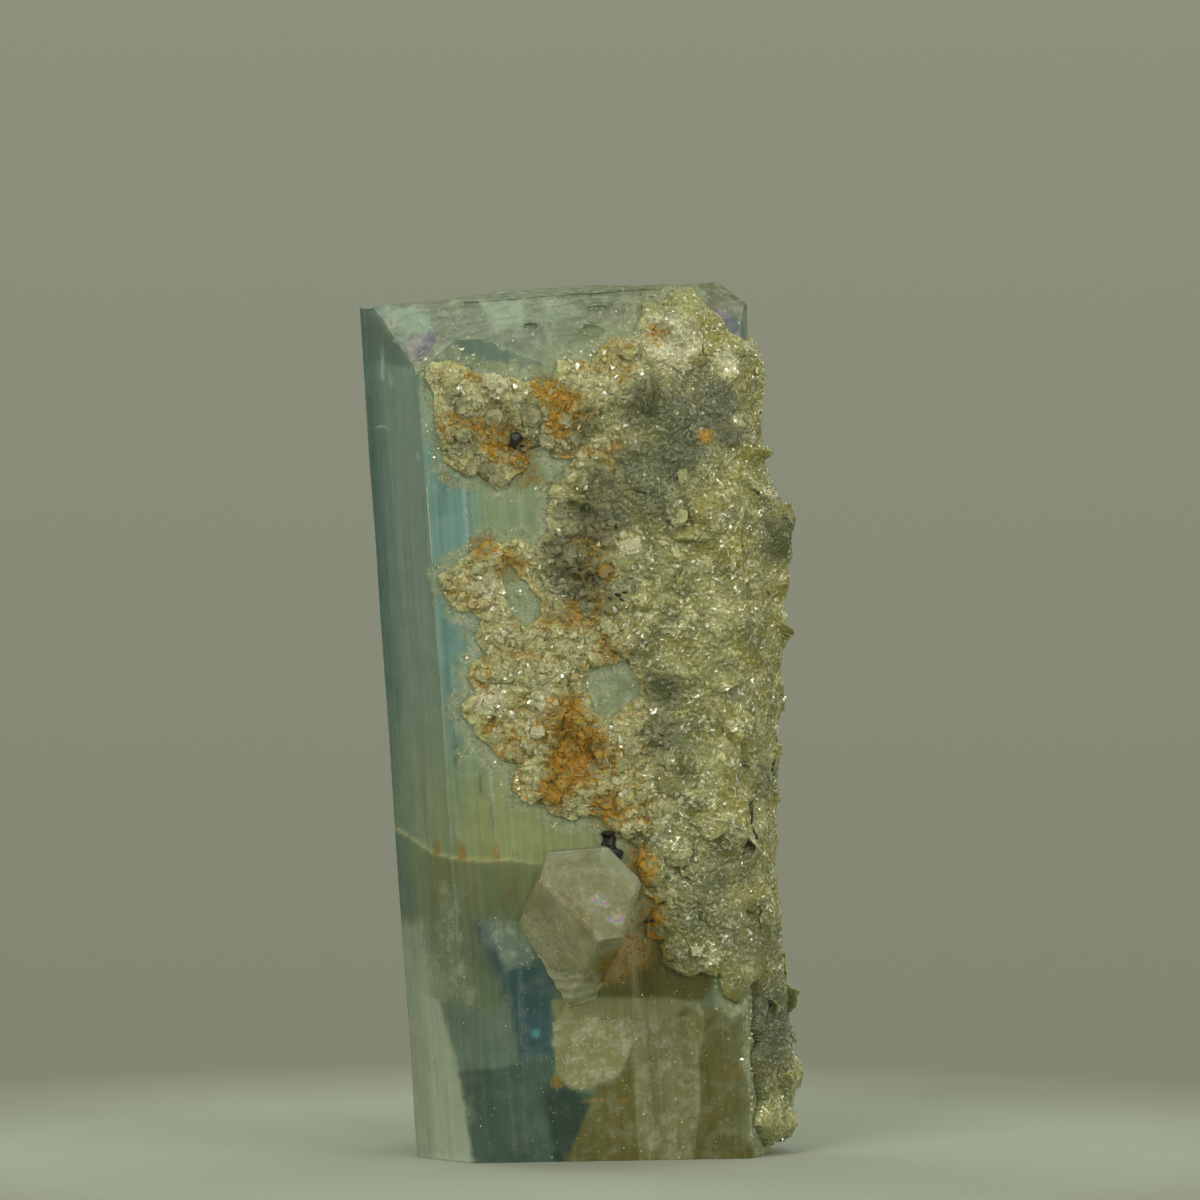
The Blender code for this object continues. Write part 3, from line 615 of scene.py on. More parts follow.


# Growth lines: noise drawn out along the crystal. The aquamarine and the black grains, the needle among them,
# have them.
growth_lines, (here, width, stretch), wanted = new_group(
    "growth lines",
    (("Vector", VECTOR, None), ("Width", FLOAT, 0.0003), ("Stretch", FLOAT, 0.04)),
    (("Lines", FLOAT), ("Patches", FLOAT)),
)
tree = growth_lines
turned = put(tree, "ShaderNodeVectorRotate", here, (0, 0, 0), (0, 1, 0), LEAN)
squeeze = put(tree, "ShaderNodeCombineXYZ", 1.0, 1.0, stretch)
drawn = put(tree, "ShaderNodeVectorMath", turned, squeeze, operation="MULTIPLY")
per_width = reckon(tree, "DIVIDE", 1.0, width)
lines = clouds_over(tree, drawn, per_width, 4.0, 0.6)
feed(tree, wanted, Lines=lines, Patches=clouds_over(tree, here, times(tree, per_width, 0.2), 3.0, 0.6))

# Flaws of both crystals: veils of fine cracks, thin bright threads, and specks painted bright as glints.
flaws, (here, amount), wanted = new_group(
    "flaws", (("Vector", VECTOR, None), ("Amount", FLOAT, 0.5)), (("Veils", FLOAT), ("Glints", FLOAT)),
)
tree = flaws
cracks = clouds_over(tree, here, 1300.0, 6.0, 0.68)
veils = times(tree, span(tree, cracks, 0.48, 0.68), span(tree, amount, 0.0, 0.4, 0.08, 0.75))
off_thread = off_middle(tree, clouds_over(tree, here, 850.0, 3.0, 0.55))
threads = times(tree, span(tree, off_thread, 0.0, 0.014, 0.6, 0.0), span(tree, amount, 0.1, 0.5))
to_speck, which = (put(tree, "ShaderNodeTexVoronoi", here, None, 2600.0, out=number) for number in (0, 1))
chosen = times(tree, span(tree, which, 0.58, 0.64), span(tree, amount, 0.02, 0.3, 0.1, 1.0))
specks = times(tree, span(tree, to_speck, 0.1, 0.2, 1.0, 0.0), chosen)
feed(tree, wanted, Veils=veils, Glints=reckon(tree, "MAXIMUM", threads, specks))

# Iron stain, for the crystals and the mica: a brown tinge with ragged orange veins, closing up where it is
# strong.
iron_stain, (here, amount, joint), wanted = new_group(
    "iron stain",
    (("Vector", VECTOR, None), ("Amount", FLOAT, 1.0), ("Joint", FLOAT, 0.5)),
    (("Mask", FLOAT), ("Color", COLOUR)),
)
tree = iron_stain
off_vein = off_middle(tree, clouds_over(tree, here, 1700.0, 5.0, 0.66))
joined = reckon(tree, "MULTIPLY_ADD", joint, 0.35, span(tree, off_vein, 0.0, 0.1, 0.75, -0.35))
raised = reckon(tree, "MULTIPLY_ADD", amount, 1.0, reckon(tree, "SUBTRACT", joined, 0.95))
present = span(tree, amount, 0.08, 0.4)
vein_mask = times(tree, span(tree, raised, 0.0, 0.4), present)
tinge = times(tree, span(tree, amount, 0.35, 1.0, 0.0, 0.85), present)
flecks = span(tree, clouds_over(tree, here, 6500.0, 2.0, 0.6), 0.35, 0.7, 0.0, 0.6)
depth = reckon(tree, "ADD", flecks, span(tree, raised, 0.4, 1.1, 0.0, 0.5))
vein_tone = blend(tree, depth, IRON_PALE, IRON_DEEP)
stain_tone = blend(tree, vein_mask, IRON_TINGE, vein_tone)
feed(tree, wanted, Mask=reckon(tree, "MAXIMUM", vein_mask, tinge), Color=stain_tone)


def flawed(tree, here, cloud, ground, veil_tone, glint_tone):
    """Lays the veils, and then the bright threads and painted glints, of a crystal over its colour."""
    veils, glints = use_group(tree, flaws, here, cloud)
    veiled = blend(tree, veils, ground, veil_tone)
    return blend(tree, times(tree, glints, 0.8), veiled, glint_tone)


def face_crystal(piece, finish):
    """Gives a crystal its finish, smooth on its faces and sharp at its edges."""
    piece.data.materials.append(finish)
    piece.data.shade_smooth()
    piece.data.set_sharp_from_angle(angle=SHARP_FROM)


beryl, tree, surface = new_material(
    "aquamarine", IOR=BERYL_IOR, Transmission_Weight=BERYL_CLEARNESS, Metallic=0.0, Coat_Weight=0.0
)
here = put(tree, "ShaderNodeTexCoord", out=3)
lines, patches = use_group(tree, growth_lines, here, 0.00022, 0.03)
cloud = kept_value(tree, "cloud")
streaked = span(tree, lines, 0.35, 0.65, 0.0, 0.55)
streaked = blend(tree, streaked, kept_value(tree, "tint", 0), BERYL_STREAKS, "SOFT_LIGHT")
mottled = blend(tree, span(tree, patches, 0.3, 0.7, 0.0, 0.4), streaked, BERYL_MOTTLING, "OVERLAY")
mottled = flawed(tree, here, cloud, mottled, BERYL_VEILS, BERYL_GLINTS)
stain, stain_tone = use_group(tree, iron_stain, here, kept_value(tree, "iron"), 0.6)
height = reckon(tree, "MULTIPLY_ADD", lines, 2.0, clouds_over(tree, here, 9000.0, 3.0, 0.7))
feed(
    tree, surface, Base_Color=blend(tree, times(tree, stain, 0.85), mottled, stain_tone),
    Roughness=reckon(tree, "ADD", span(tree, lines, 0.3, 0.7, 0.07, 0.2), cloud),
    Normal=put(tree, "ShaderNodeBump", 0.35, 0.00003, None, height),
)
inside = put(tree, "ShaderNodeVolumeAbsorption", BERYL_ABSORPTION, BERYL_DENSITY)
feed(tree, tree.nodes["Material Output"].inputs, Volume=inside)

face_crystal(prism, beryl)
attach(prism, "root")
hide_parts("aquamarine_prism")


# The muscovite crust: its body.
# Thousands of mica books have grown into one felted crust on the prism. Its body carries the loose flakes. It
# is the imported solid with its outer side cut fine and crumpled: round rosettes on the left, a sugary skin
# elsewhere.

CRUST_CELL = 0.15
ROSETTE = 0.95
ROSETTE_HEIGHT = 0.3
GRAIN = 0.34
GRAIN_HEIGHT = 0.085
CRUMPLE_HEIGHT = 0.05
SPARKLE_HEIGHT = 0.013
ROUNDING = 8
FINE_ROUNDING = 22
FINE_FROM = 10.5


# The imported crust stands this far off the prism, and what is further off is its outer side. Its inner side is
# seated on the prism, to this share of that distance. Its left part is thinned by the next share, and some
# spots at its top as well.
CLEARANCE = 0.3
SEATING = 0.15
THINNING = 0.45
THIN_SPOTS = ((12.6, 43.4, 1.2, 1.0), (14.2, 43.6, 1.2, 1.0))

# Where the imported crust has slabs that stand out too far: along, up and radius. There, what is further off
# the prism than the limit is smoothed.
SLAB_SPOTS = (
    (17.0, 32.8, 1.5), (17.3, 31.4, 1.2), (13.2, 30.3, 0.9), (16.7, 39.6, 1.3), (16.2, 25.0, 1.4),
    (16.2, 16.0, 1.3),
)
SLAB_FROM = 0.4
SLAB_ROUNDING = 70

hull_tree = BVHTree.FromObject(prism, bpy.context.evaluated_depsgraph_get())


def looks_outward(place, normal):
    """How squarely a crust face looks away from the prism, and how far off the prism it is in millimetres."""
    nearest, _, _, distance = hull_tree.find_nearest(place)
    return (place - nearest).normalized().dot(normal), distance / MM


crust_body = bmesh.new()
crust_body.from_mesh(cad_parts["muscovite_crust"].data)
bmesh.ops.remove_doubles(crust_body, verts=crust_body.verts, dist=1e-7)
for face in crust_body.faces:
    outwardness, distance = looks_outward(face.calc_center_median(), face.normal)
    face.material_index = int(outwardness > -0.2 and distance > CLEARANCE)
for limit in (1.2, 0.6, 0.3, CRUST_CELL * 1.45, CRUST_CELL * 1.45):
    outer_edges = {edge for face in crust_body.faces if face.material_index for edge in face.edges}
    long_edges = [edge for edge in outer_edges if edge.calc_length() > limit * MM]
    long_edges.sort(key=lambda edge: edge.index)
    bmesh.ops.subdivide_edges(crust_body, edges=long_edges, cuts=1)
    bmesh.ops.triangulate(crust_body, faces=crust_body.faces)
    crust_body.edges.index_update()
outer_vertices = [
    vertex for vertex in crust_body.verts if all(face.material_index for face in vertex.link_faces)
]
fine_vertices = [
    vertex for vertex in outer_vertices if (vertex.co - CRYSTAL.translation).dot(ALONG) > FINE_FROM * MM
]
slab_vertices = []
for vertex in crust_body.verts:
    at_along, _, at_up = CRYSTAL.inverted() @ vertex.co
    if hull_tree.find_nearest(vertex.co)[3] < SLAB_FROM * MM:
        continue
    if any(math.hypot(at_along - x, at_up - z) < radius for x, z, radius in SLAB_SPOTS):
        slab_vertices.append(vertex)
smooth_over(crust_body, outer_vertices, ROUNDING)
smooth_over(crust_body, fine_vertices, FINE_ROUNDING)
smooth_over(crust_body, slab_vertices, SLAB_ROUNDING)
for face in crust_body.faces:
    face.material_index = 0

crust = piece_of("muscovite_mat", crust_body)
crust_places, crust_normals = places_in_crystal(crust.data)
crust_along, crust_inward, crust_up = crust_places.T

# Where the crust is coarse, on its left part, and where it is fine.
coarse_to = np.interp(crust_up, (8, 14, 20, 26, 33, 42), (10.5, 10.0, 11.0, 9.6, 9.4, 11.5))
coarse = 1 - smooth_step(-1.0, 1.0, crust_along - coarse_to + noise_at(crust_places, 1.5, 23))


def lumps_at(places, size):
    """Rounded lumps of a size in millimetres: how far each place is in from the rim, its lump's own number,
    and the way from its middle."""
    jitter = np.array([noise.noise_vector(place) for place in places / (0.45 * size)]) * 0.22
    inner = np.empty(len(places))
    number = np.empty(len(places))
    spread = np.empty((len(places), 3))
    for index, place in enumerate(places / size + jitter):
        distances, centres = noise.voronoi(place)
        inner[index] = distances[1] - distances[0]
        number[index] = noise.cell(centres[0] * 7.31)
        spread[index] = place - centres[0]
    return inner, number % 1, spread


rosette_inner, rosette_number, rosette_spread = lumps_at(crust_places, ROSETTE)
grain_inner, grain_number, _ = lumps_at(crust_places, GRAIN)
rosettes = smooth_step(0, 0.45, rosette_inner) * (0.5 + 0.5 * rosette_number)
grains = smooth_step(0, 0.4, grain_inner) * (0.4 + 0.6 * grain_number)
crumple = 0.6 - np.abs(noise_at(crust_places, 0.34, 21)) * 1.6
crumple += 0.5 * noise_at(crust_places, 0.15, 22)
hollows = noise_at(crust_places, 1.3, 24)
draw = np.random.default_rng(5)
sparkle = draw.uniform(-1, 1, len(crust_places))

# Only the outer side is worked. The inner side is seated on the prism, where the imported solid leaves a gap.
outwardness, distance = np.transpose([
    looks_outward(vertex.co, normal.vector)
    for vertex, normal in zip(crust.data.vertices, crust.data.vertex_normals)
])
outer = smooth_step(-0.3, 0.3, outwardness) * smooth_step(0.28, 0.5, distance)
seated = (outwardness < 0.2) & (distance < CLEARANCE * 1.6)
thinner = THINNING * coarse * (distance < 1.5)
thinner = np.maximum(thinner, 0.8 * spots_at(THIN_SPOTS, crust_along, crust_up))
thinned = np.where(seated, SEATING, 1 - thinner)
for number in np.flatnonzero(thinned < 1):
    vertex = crust.data.vertices[number]
    nearest = hull_tree.find_nearest(vertex.co)[0]
    vertex.co = nearest + (vertex.co - nearest) * thinned[number]
relief = coarse * ROSETTE_HEIGHT * (rosettes - 0.4)
relief += (0.3 + 0.7 * (1 - coarse)) * GRAIN_HEIGHT * (grains - 0.3)
rim = 1 - np.clip(rosette_inner / 0.45, 0, 1)
relief += CRUMPLE_HEIGHT * (0.6 + 0.6 * coarse * rim) * crumple + SPARKLE_HEIGHT * sparkle + 0.03 * hollows
move_out(crust.data, crust_normals, relief * outer)

# Darker, greener parts of the crust, in part painted shade, as on its lower part: along, up, radius and
# strength.
SHADE_SPOTS = (
    (5.7, 35.2, 1.0, 0.8), (3.8, 36.9, 0.9, 0.7), (2.4, 36.5, 0.9, 0.6), (7.4, 36.2, 0.8, 0.6),
    (8.5, 31.7, 1.4, 0.9), (7.0, 29.9, 1.5, 0.9), (7.6, 28.2, 1.3, 0.8), (10.7, 34.3, 1.4, 0.8),
    (13.0, 35.2, 1.3, 0.9), (15.0, 36.0, 1.2, 0.9), (11.2, 23.0, 0.9, 0.8), (10.9, 20.8, 0.9, 0.8),
    (18.1, 30.0, 1.2, 0.8), (12.2, 11.0, 2.2, 0.5), (14.5, 4.5, 2.0, 0.7), (13.5, 14.0, 1.6, 0.4),
    (16.0, 18.0, 1.0, 0.5), (11.3, 37.3, 1.1, 0.8), (14.9, 37.0, 1.3, 0.95), (12.5, 34.5, 1.3, 0.9),
    (12.9, 36.6, 1.4, 0.9), (14.6, 38.6, 0.8, 0.6), (8.8, 33.0, 1.3, 0.8), (11.2, 32.5, 1.2, 0.7),
    (15.2, 5.5, 2.2, 1.0), (5.4, 37.3, 0.6, 0.8), (3.6, 37.7, 0.5, 0.7), (1.8, 38.1, 0.5, 0.6),
    (7.7, 36.3, 0.8, 0.8), (1.8, 36.0, 0.5, 0.6), (3.0, 34.4, 0.5, 0.6), (14.8, 10.0, 1.6, 0.5),
)

# Paler, silvery parts of the crust, where books and flakes glint: in part painted highlight.
PALE_SPOTS = (
    (3.6, 39.0, 0.55, 1.0), (12.9, 40.4, 1.2, 0.9), (5.1, 22.8, 0.5, 0.9), (4.6, 21.4, 0.5, 0.8),
    (2.3, 23.2, 0.6, 0.9), (2.6, 28.5, 0.6, 0.9), (9.9, 30.3, 0.5, 0.9), (15.9, 36.2, 0.3, 1.0),
    (13.0, 9.6, 0.8, 0.4), (15.6, 39.0, 0.6, 0.8),
)
forward = 1 - smooth_step(4, 7, crust_inward)
shade = spots_at(SHADE_SPOTS, crust_along, crust_up) * forward
pale = spots_at(PALE_SPOTS, crust_along, crust_up) * forward
rusty = 0.36 + 0.4 * noise_at(crust_places, 1.6, 25)
rusty *= coarse * smooth_step(8, 12, crust_up)
crust_iron = np.maximum(spots_at(IRON_SPOTS, crust_along, crust_up), rusty)
crust_iron *= 1 - smooth_step(1.5, 3.5, crust_inward)

# Patches of bright small flakes, here and there on the fine skin and along the rims of the rosettes. The mica's
# colour is painted pale over the same patches, as glints.
glint_patch_noise = noise_at(crust_places, 0.8, 26) + 0.6 * noise_at(crust_places, 0.3, 27)
rimmed = coarse * (0.3 + 0.7 * rim)
bright_flakes_and_painted_glints = smooth_step(-0.05, 0.45, glint_patch_noise + 0.8 * pale - 0.25 * shade) * (1 - coarse + rimmed)
for label, share in (
    ("coarse", outer * rimmed), ("fine", outer * (1 - coarse)), ("bright_flakes_and_painted_glints", outer * bright_flakes_and_painted_glints), ("rosette", coarse),
    ("rim", rim), ("lump", rosette_number), ("shade", shade - pale), ("iron", crust_iron),
    ("flake", 0.5 + 0.5 * sparkle),
):
    store(crust.data, label, share)
store(crust.data, "plume", rosette_spread, "FLOAT_VECTOR", "vector")

MICA_IOR = 1.59
MICA_SCATTER = 0.45 * MM
MICA_PALE = (0.256, 0.262, 0.104, 1)
MICA_OLIVE = (0.225, 0.205, 0.045, 1)
MICA_RIM = (0.5, 0.49, 0.26, 1)
# Silver: mica's own pearly white, painted on bright flakes and pale parts in part as glints.
MICA_SILVER = (0.8, 0.8, 0.68, 1)
MICA_GREEN = (0.135, 0.15, 0.065, 1)
MICA_DEEP = (0.065, 0.078, 0.04, 1)

# Plumes: the fan of fine ribs in a rosette, drawn about its middle.
plumes, (spread, number), wanted = new_group(
    "mica plumes", (("Spread", VECTOR, None), ("Number", FLOAT, 0.0)), (("Ribs", FLOAT),)
)
tree = plumes
own = times(tree, number, 3.0)
ray = put(tree, "ShaderNodeVectorMath", spread, operation="NORMALIZE")
swirled = put(tree, "ShaderNodeVectorMath", spread, (1.2, 1.2, 1.2), ray, operation="MULTIPLY_ADD")
away = put(tree, "ShaderNodeCombineXYZ", own, own, own)
shifted = put(tree, "ShaderNodeVectorMath", swirled, away, operation="ADD")
feed(tree, wanted, Ribs=clouds_over(tree, shifted, 5.0, 3.0, 0.65))


def mica_material(name, low_gloss, high_gloss, glitter, softness):
    """Pearly mica: green-grey rosettes with pale rims, a mottled skin, a tone for each flake, and iron, with
    glints and shade painted into its colour in part.
    """
    made, tree, surface = new_material(
        name, IOR=MICA_IOR, Transmission_Weight=0.0, Subsurface_Weight=softness,
        Subsurface_Scale=MICA_SCATTER, Subsurface_Radius=(1.0, 1.0, 0.5), Specular_IOR_Level=0.35,
    )
    here = put(tree, "ShaderNodeTexCoord", out=3)
    flake, rosette, rim, lump, shade, iron, bright_flakes_and_painted_glints = (
        kept_value(tree, label) for label in ("flake", "rosette", "rim", "lump", "shade", "iron", "bright_flakes_and_painted_glints")
    )
    patch = clouds_over(tree, here, 650.0, 4.0, 0.65)
    grain = clouds_over(tree, here, 5200.0, 3.0, 0.7)
    crinkle = clouds_over(tree, here, 3000.0, 4.0, 0.7)
    wide = clouds_over(tree, here, 330.0, 3.0, 0.6)
    ribs = use_group(tree, plumes, kept_value(tree, "plume", 1), lump)[0]
    ground = blend(tree, span(tree, wide, 0.42, 0.6), MICA_OLIVE, MICA_PALE)
    skin = blend(tree, span(tree, patch, 0.36, 0.58), MICA_GREEN, ground)
    book = blend(tree, span(tree, lump, 0.0, 0.7), MICA_GREEN, MICA_PALE)
    ragged = reckon(tree, "MULTIPLY_ADD", crinkle, 1.2, rim)
    painted_glint_granules = reckon(tree, "MULTIPLY_ADD", bright_flakes_and_painted_glints, 0.22, grain)
    for share, over in (
        (span(tree, ribs, 0.44, 0.58, 0.0, 0.9), MICA_RIM),
        (span(tree, ragged, 1.15, 1.45, 0.0, 0.85), MICA_RIM),
    ):
        book = blend(tree, share, book, over)
    tone = blend(tree, times(tree, rosette, 0.9), skin, book)
    # Over that: pale patches and silver flakes, in part painted glints, darker parts, in part painted shade,
    # and paler parts, in part painted highlight.
    for share, over in (
        (span(tree, painted_glint_granules, 0.6, 0.78, 0.0, 0.7), MICA_RIM),
        (span(tree, flake, 0.78, 0.95, 0.0, 0.9), MICA_SILVER),
        (span(tree, shade, 0.0, 1.0, 0.0, 0.92), MICA_DEEP),
        (span(tree, shade, 0.0, -1.0, 0.0, 0.35), MICA_SILVER),
    ):
        tone = blend(tree, share, tone, over)
    stain, stain_tone = use_group(tree, iron_stain, here, iron, span(tree, ragged, 0.9, 1.5))
    gloss = span(tree, flake, 0.0, 1.0, low_gloss, high_gloss)
    clean = span(tree, stain, 0.0, 1.0, 1.0, 0.3)
    sugar = put(tree, "ShaderNodeTexVoronoi", here, None, 4200.0)
    granules = reckon(tree, "MULTIPLY_ADD", sugar, -0.8, grain)
    granules = reckon(tree, "MULTIPLY_ADD", times(tree, ribs, rosette), 1.6, granules)
    feed(
        tree, surface, Base_Color=blend(tree, stain, tone, stain_tone),
        Roughness=reckon(tree, "MULTIPLY_ADD", stain, 0.3, gloss),
        Metallic=times(tree, span(tree, flake, 0.7, 0.9, 0.0, glitter), clean),
        Normal=put(tree, "ShaderNodeBump", 0.55, 0.00005, None, granules),
    )
    return made


crust.data.materials.append(mica_material("mica felt", 0.36, 0.2, 0.3, 0.55))
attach(crust, "root")
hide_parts("muscovite_crust")


# The muscovite crust: its flakes.
# Loose flakes, thin as foil and frayed at their edges, stand at all angles on the crust. They are coarse in
# the rosettes on the left, fine and crowded elsewhere, and thin out over the bare face beside the crust.

FLAKE_SIDES = 5
FLAKE_DEPTH = 0.3
flake_tree = bpy.data.node_groups.new("mica flakes", "GeometryNodeTree")
tree = flake_tree
for direction, label, kind in (
    ("INPUT", "Geometry", "Geometry"), ("INPUT", "Share", "String"), ("INPUT", "Spacing", "Float"),
    ("INPUT", "Most", "Float"), ("INPUT", "Smallest", "Float"), ("INPUT", "Largest", "Float"),
    ("INPUT", "Slimness", "Float"), ("INPUT", "Tilt", "Float"), ("INPUT", "Fray", "Float"),
    ("INPUT", "Dullest", "Float"), ("INPUT", "Seed", "Int"), ("INPUT", "Finish", "Material"),
    ("OUTPUT", "Geometry", "Geometry"),
):
    tree.interface.new_socket(label, in_out=direction, socket_type="NodeSocket" + kind)


def wire(tree, kind, sources, **settings):
    """Adds a node to a tree, plugs the inputs that are named, and gives its output."""
    made = tree.nodes.new(kind)
    for name, setting in settings.items():
        setattr(made, name, setting)
    for socket in made.inputs:
        if socket.enabled and socket.name in sources:
            plug(tree, socket, sources[socket.name])
    return next(socket for socket in made.outputs if socket.enabled)


def random_between(tree, low, high, seed, kind="FLOAT"):
    """A random value for each flake, or for each corner."""
    return wire(tree, "FunctionNodeRandomValue", {"Min": low, "Max": high, "Seed": seed}, data_type=kind)


given = tree.nodes.new("NodeGroupInput").outputs
share = wire(tree, "GeometryNodeInputNamedAttribute", {"Name": given["Share"]}, data_type="FLOAT")
scatter = tree.nodes.new("GeometryNodeDistributePointsOnFaces")
scatter.distribute_method = "POISSON"
feed(
    tree, scatter.inputs, Mesh=given["Geometry"], Distance_Min=given["Spacing"], Density_Max=given["Most"],
    Density_Factor=share, Seed=given["Seed"],
)
tilt_back = times(tree, given["Tilt"], -1.0)
leaning = put(
    tree, "ShaderNodeCombineXYZ", random_between(tree, tilt_back, given["Tilt"], 3),
    random_between(tree, tilt_back, given["Tilt"], 5), random_between(tree, 0.0, math.tau, 4),
)
turned_flake = wire(tree, "FunctionNodeRotateRotation", {
    "Rotation": scatter.outputs["Rotation"], "Rotate By": put(tree, "FunctionNodeEulerToRotation", leaning),
}, rotation_space="LOCAL")
blank = wire(tree, "GeometryNodeMeshCone", {
    "Vertices": FLAKE_SIDES, "Radius Top": 1.0, "Radius Bottom": 0.0, "Depth": FLAKE_DEPTH,
}, fill_type="NGON")
size = random_between(tree, given["Smallest"], given["Largest"], 7)
narrow = times(tree, size, random_between(tree, given["Slimness"], 1.0, 8))
planted = wire(tree, "GeometryNodeInstanceOnPoints", {
    "Points": scatter.outputs["Points"], "Instance": blank, "Rotation": turned_flake,
    "Scale": put(tree, "ShaderNodeCombineXYZ", size, narrow, size),
})
marked = wire(tree, "GeometryNodeStoreNamedAttribute", {
    "Geometry": planted, "Name": "flake", "Value": random_between(tree, given["Dullest"], 1.0, 9),
}, data_type="FLOAT", domain="INSTANCE")
whole = wire(tree, "GeometryNodeRealizeInstances", {"Geometry": marked})
frayed_by = wire(tree, "ShaderNodeVectorMath", {
    "Vector": random_between(tree, (-1, -1, -1), (1, 1, 1), 11, "FLOAT_VECTOR"), "Scale": given["Fray"],
}, operation="SCALE")
frayed = wire(tree, "GeometryNodeSetPosition", {"Geometry": whole, "Offset": frayed_by})
finished = wire(tree, "GeometryNodeSetMaterial", {"Geometry": frayed, "Material": given["Finish"]})
tree.links.new(finished, tree.nodes.new("NodeGroupOutput").inputs[0])


def grown_on(name, ground, tree, settings):
    """Runs a geometry tree on a copy of the ground. What it makes is a plain mesh, none of it below 0."""
    bearer = bpy.data.objects.new(name, ground.data.copy())
    bpy.context.scene.collection.objects.link(bearer)
    modifier = bearer.modifiers.new("Grow", "NODES")
    modifier.node_group = tree
    for item in tree.interface.items_tree:
        if item.in_out == "INPUT" and item.name in settings:
            modifier[item.identifier] = settings[item.name]
    seen = bearer.evaluated_get(bpy.context.evaluated_depsgraph_get())
    mesh = bpy.data.meshes.new_from_object(seen)
    spots = rows_of(mesh.vertices, "co")
    spots[:, 2] = np.maximum(spots[:, 2], 0)
    mesh.vertices.foreach_set("co", spots.ravel())
    bearer.modifiers.clear()
    bearer.data = mesh
    return bearer


# Each kind: what it grows on and the label of its share there, the least spacing, the most on a square
# millimetre, the smallest and largest half length, all in millimetres, the least width as a share of the
# length, the lean in degrees, the fray as a share of the largest, the gloss of the dullest flake, and a seed.
flake_finish = mica_material("mica flake", 0.38, 0.12, 0.5, 0.2)
FLAKE_KINDS = (
    ("mica_rosettes", crust, "coarse", 0.16, 26, 0.1, 0.24, 0.15, 40, 0.2, 0.0, 1),
    ("mica_rosette_flakes", crust, "coarse", 0.12, 38, 0.04, 0.11, 0.3, 75, 0.25, 0.3, 2),
    ("mica_grains", crust, "fine", 0.24, 9, 0.06, 0.12, 0.5, 50, 0.25, 0.0, 3),
    ("mica_fine_flakes", crust, "fine", 0.13, 30, 0.025, 0.065, 0.4, 70, 0.3, 0.0, 4),
    ("mica_glints", crust, "bright_flakes_and_painted_glints", 0.17, 17, 0.035, 0.09, 0.5, 50, 0.15, 0.82, 6),
    ("mica_fringe", prism, "lace", 0.12, 40, 0.04, 0.14, 0.25, 60, 0.25, 0.0, 5),
    ("mica_dust", prism, "dust", 0.12, 45, 0.015, 0.045, 0.3, 35, 0.2, 0.6, 7),
)
for name, ground, label, spacing, most, smallest, largest, slimness, lean, fray, dullest, seed in FLAKE_KINDS:
    flakes = grown_on(name, ground, flake_tree, {
        "Share": label, "Spacing": spacing * MM, "Most": most / MM**2, "Smallest": smallest * MM,
        "Largest": largest * MM, "Slimness": slimness, "Tilt": math.radians(lean),
        "Fray": fray * largest * MM, "Dullest": dullest, "Seed": seed, "Finish": flake_finish,
    })
    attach(flakes, "root")


# The muscovite crust: its books.
# The largest mica books that show: round stacks of thin leaves, each a little smaller and turned against the
# last.

# Each: along and up the crystal, half its width, its number of leaves, its lean and turn in degrees, and its
# shade: above 0 a painted shade, below it a painted silvery highlight.
BOOKS = (
    (3.55, 39.05, 0.52, 6, 32, 200, -0.3), (5.3, 37.0, 0.6, 5, 18, 60, 0.5),
    (7.1, 36.9, 0.5, 5, 25, 150, 0.4), (3.5, 37.1, 0.55, 5, 15, 20, 0.35), (2.1, 34.7, 0.45, 4, 25, 100, 0.3),
    (3.6, 34.1, 0.5, 5, 20, 300, 0.35), (8.1, 34.3, 0.5, 5, 28, 30, 0.4), (6.2, 35.9, 0.45, 4, 20, 240, 0.4),
    (1.9, 36.4, 0.42, 4, 22, 330, 0.3), (7.6, 38.6, 0.5, 5, 30, 80, 0.1), (6.5, 32.3, 0.5, 5, 24, 130, 0.6),
    (8.8, 32.2, 0.55, 5, 18, 10, 0.7), (7.1, 30.2, 0.55, 5, 26, 210, 0.7), (2.6, 28.4, 0.4, 4, 35, 160, -0.4),
    (9.9, 30.3, 0.45, 5, 38, 190, -0.5), (5.0, 22.8, 0.5, 5, 35, 220, -0.5),
    (2.4, 23.1, 0.45, 5, 30, 170, -0.4), (4.6, 21.4, 0.4, 4, 40, 140, -0.5), (6.6, 24.6, 0.5, 5, 20, 50, 0.3),
    (9.4, 20.2, 0.55, 5, 25, 90, 0.2), (15.2, 35.4, 0.8, 6, 12, 45, 0.9), (17.3, 30.7, 0.7, 5, 30, 45, 0.8),
    (13.0, 33.6, 0.5, 5, 40, 260, 0.2), (11.9, 9.9, 0.4, 4, 30, 200, -0.3),
    (12.4, 31.6, 0.5, 4, 30, 120, 0.1), (10.9, 12.6, 0.4, 4, 30, 30, -0.2),
)
LEAF_SIDES = 14
LEAF_THICKNESS = 0.035
LEAF_TWIST = 0.25
LEAF_SHRINK = 0.09
LEAF_WAVE = 0.04
BOOK_RISE = 0.12
BOOK_RUGGEDNESS = 0.16
draw = random.Random(7)
mat_tree = BVHTree.FromObject(crust, bpy.context.evaluated_depsgraph_get())


def front_surface(place_along, place_up):
    """The point of the specimen's front that lies over a place along and up the crystal."""
    start = CRYSTAL @ Vector((place_along, -8, place_up))
    hits = [tree.ray_cast(start, INWARD)[0] for tree in (mat_tree, hull_tree)]
    found = [hit for hit in hits if hit is not None]
    return min(found, key=lambda hit: (hit - start).length) if found else None


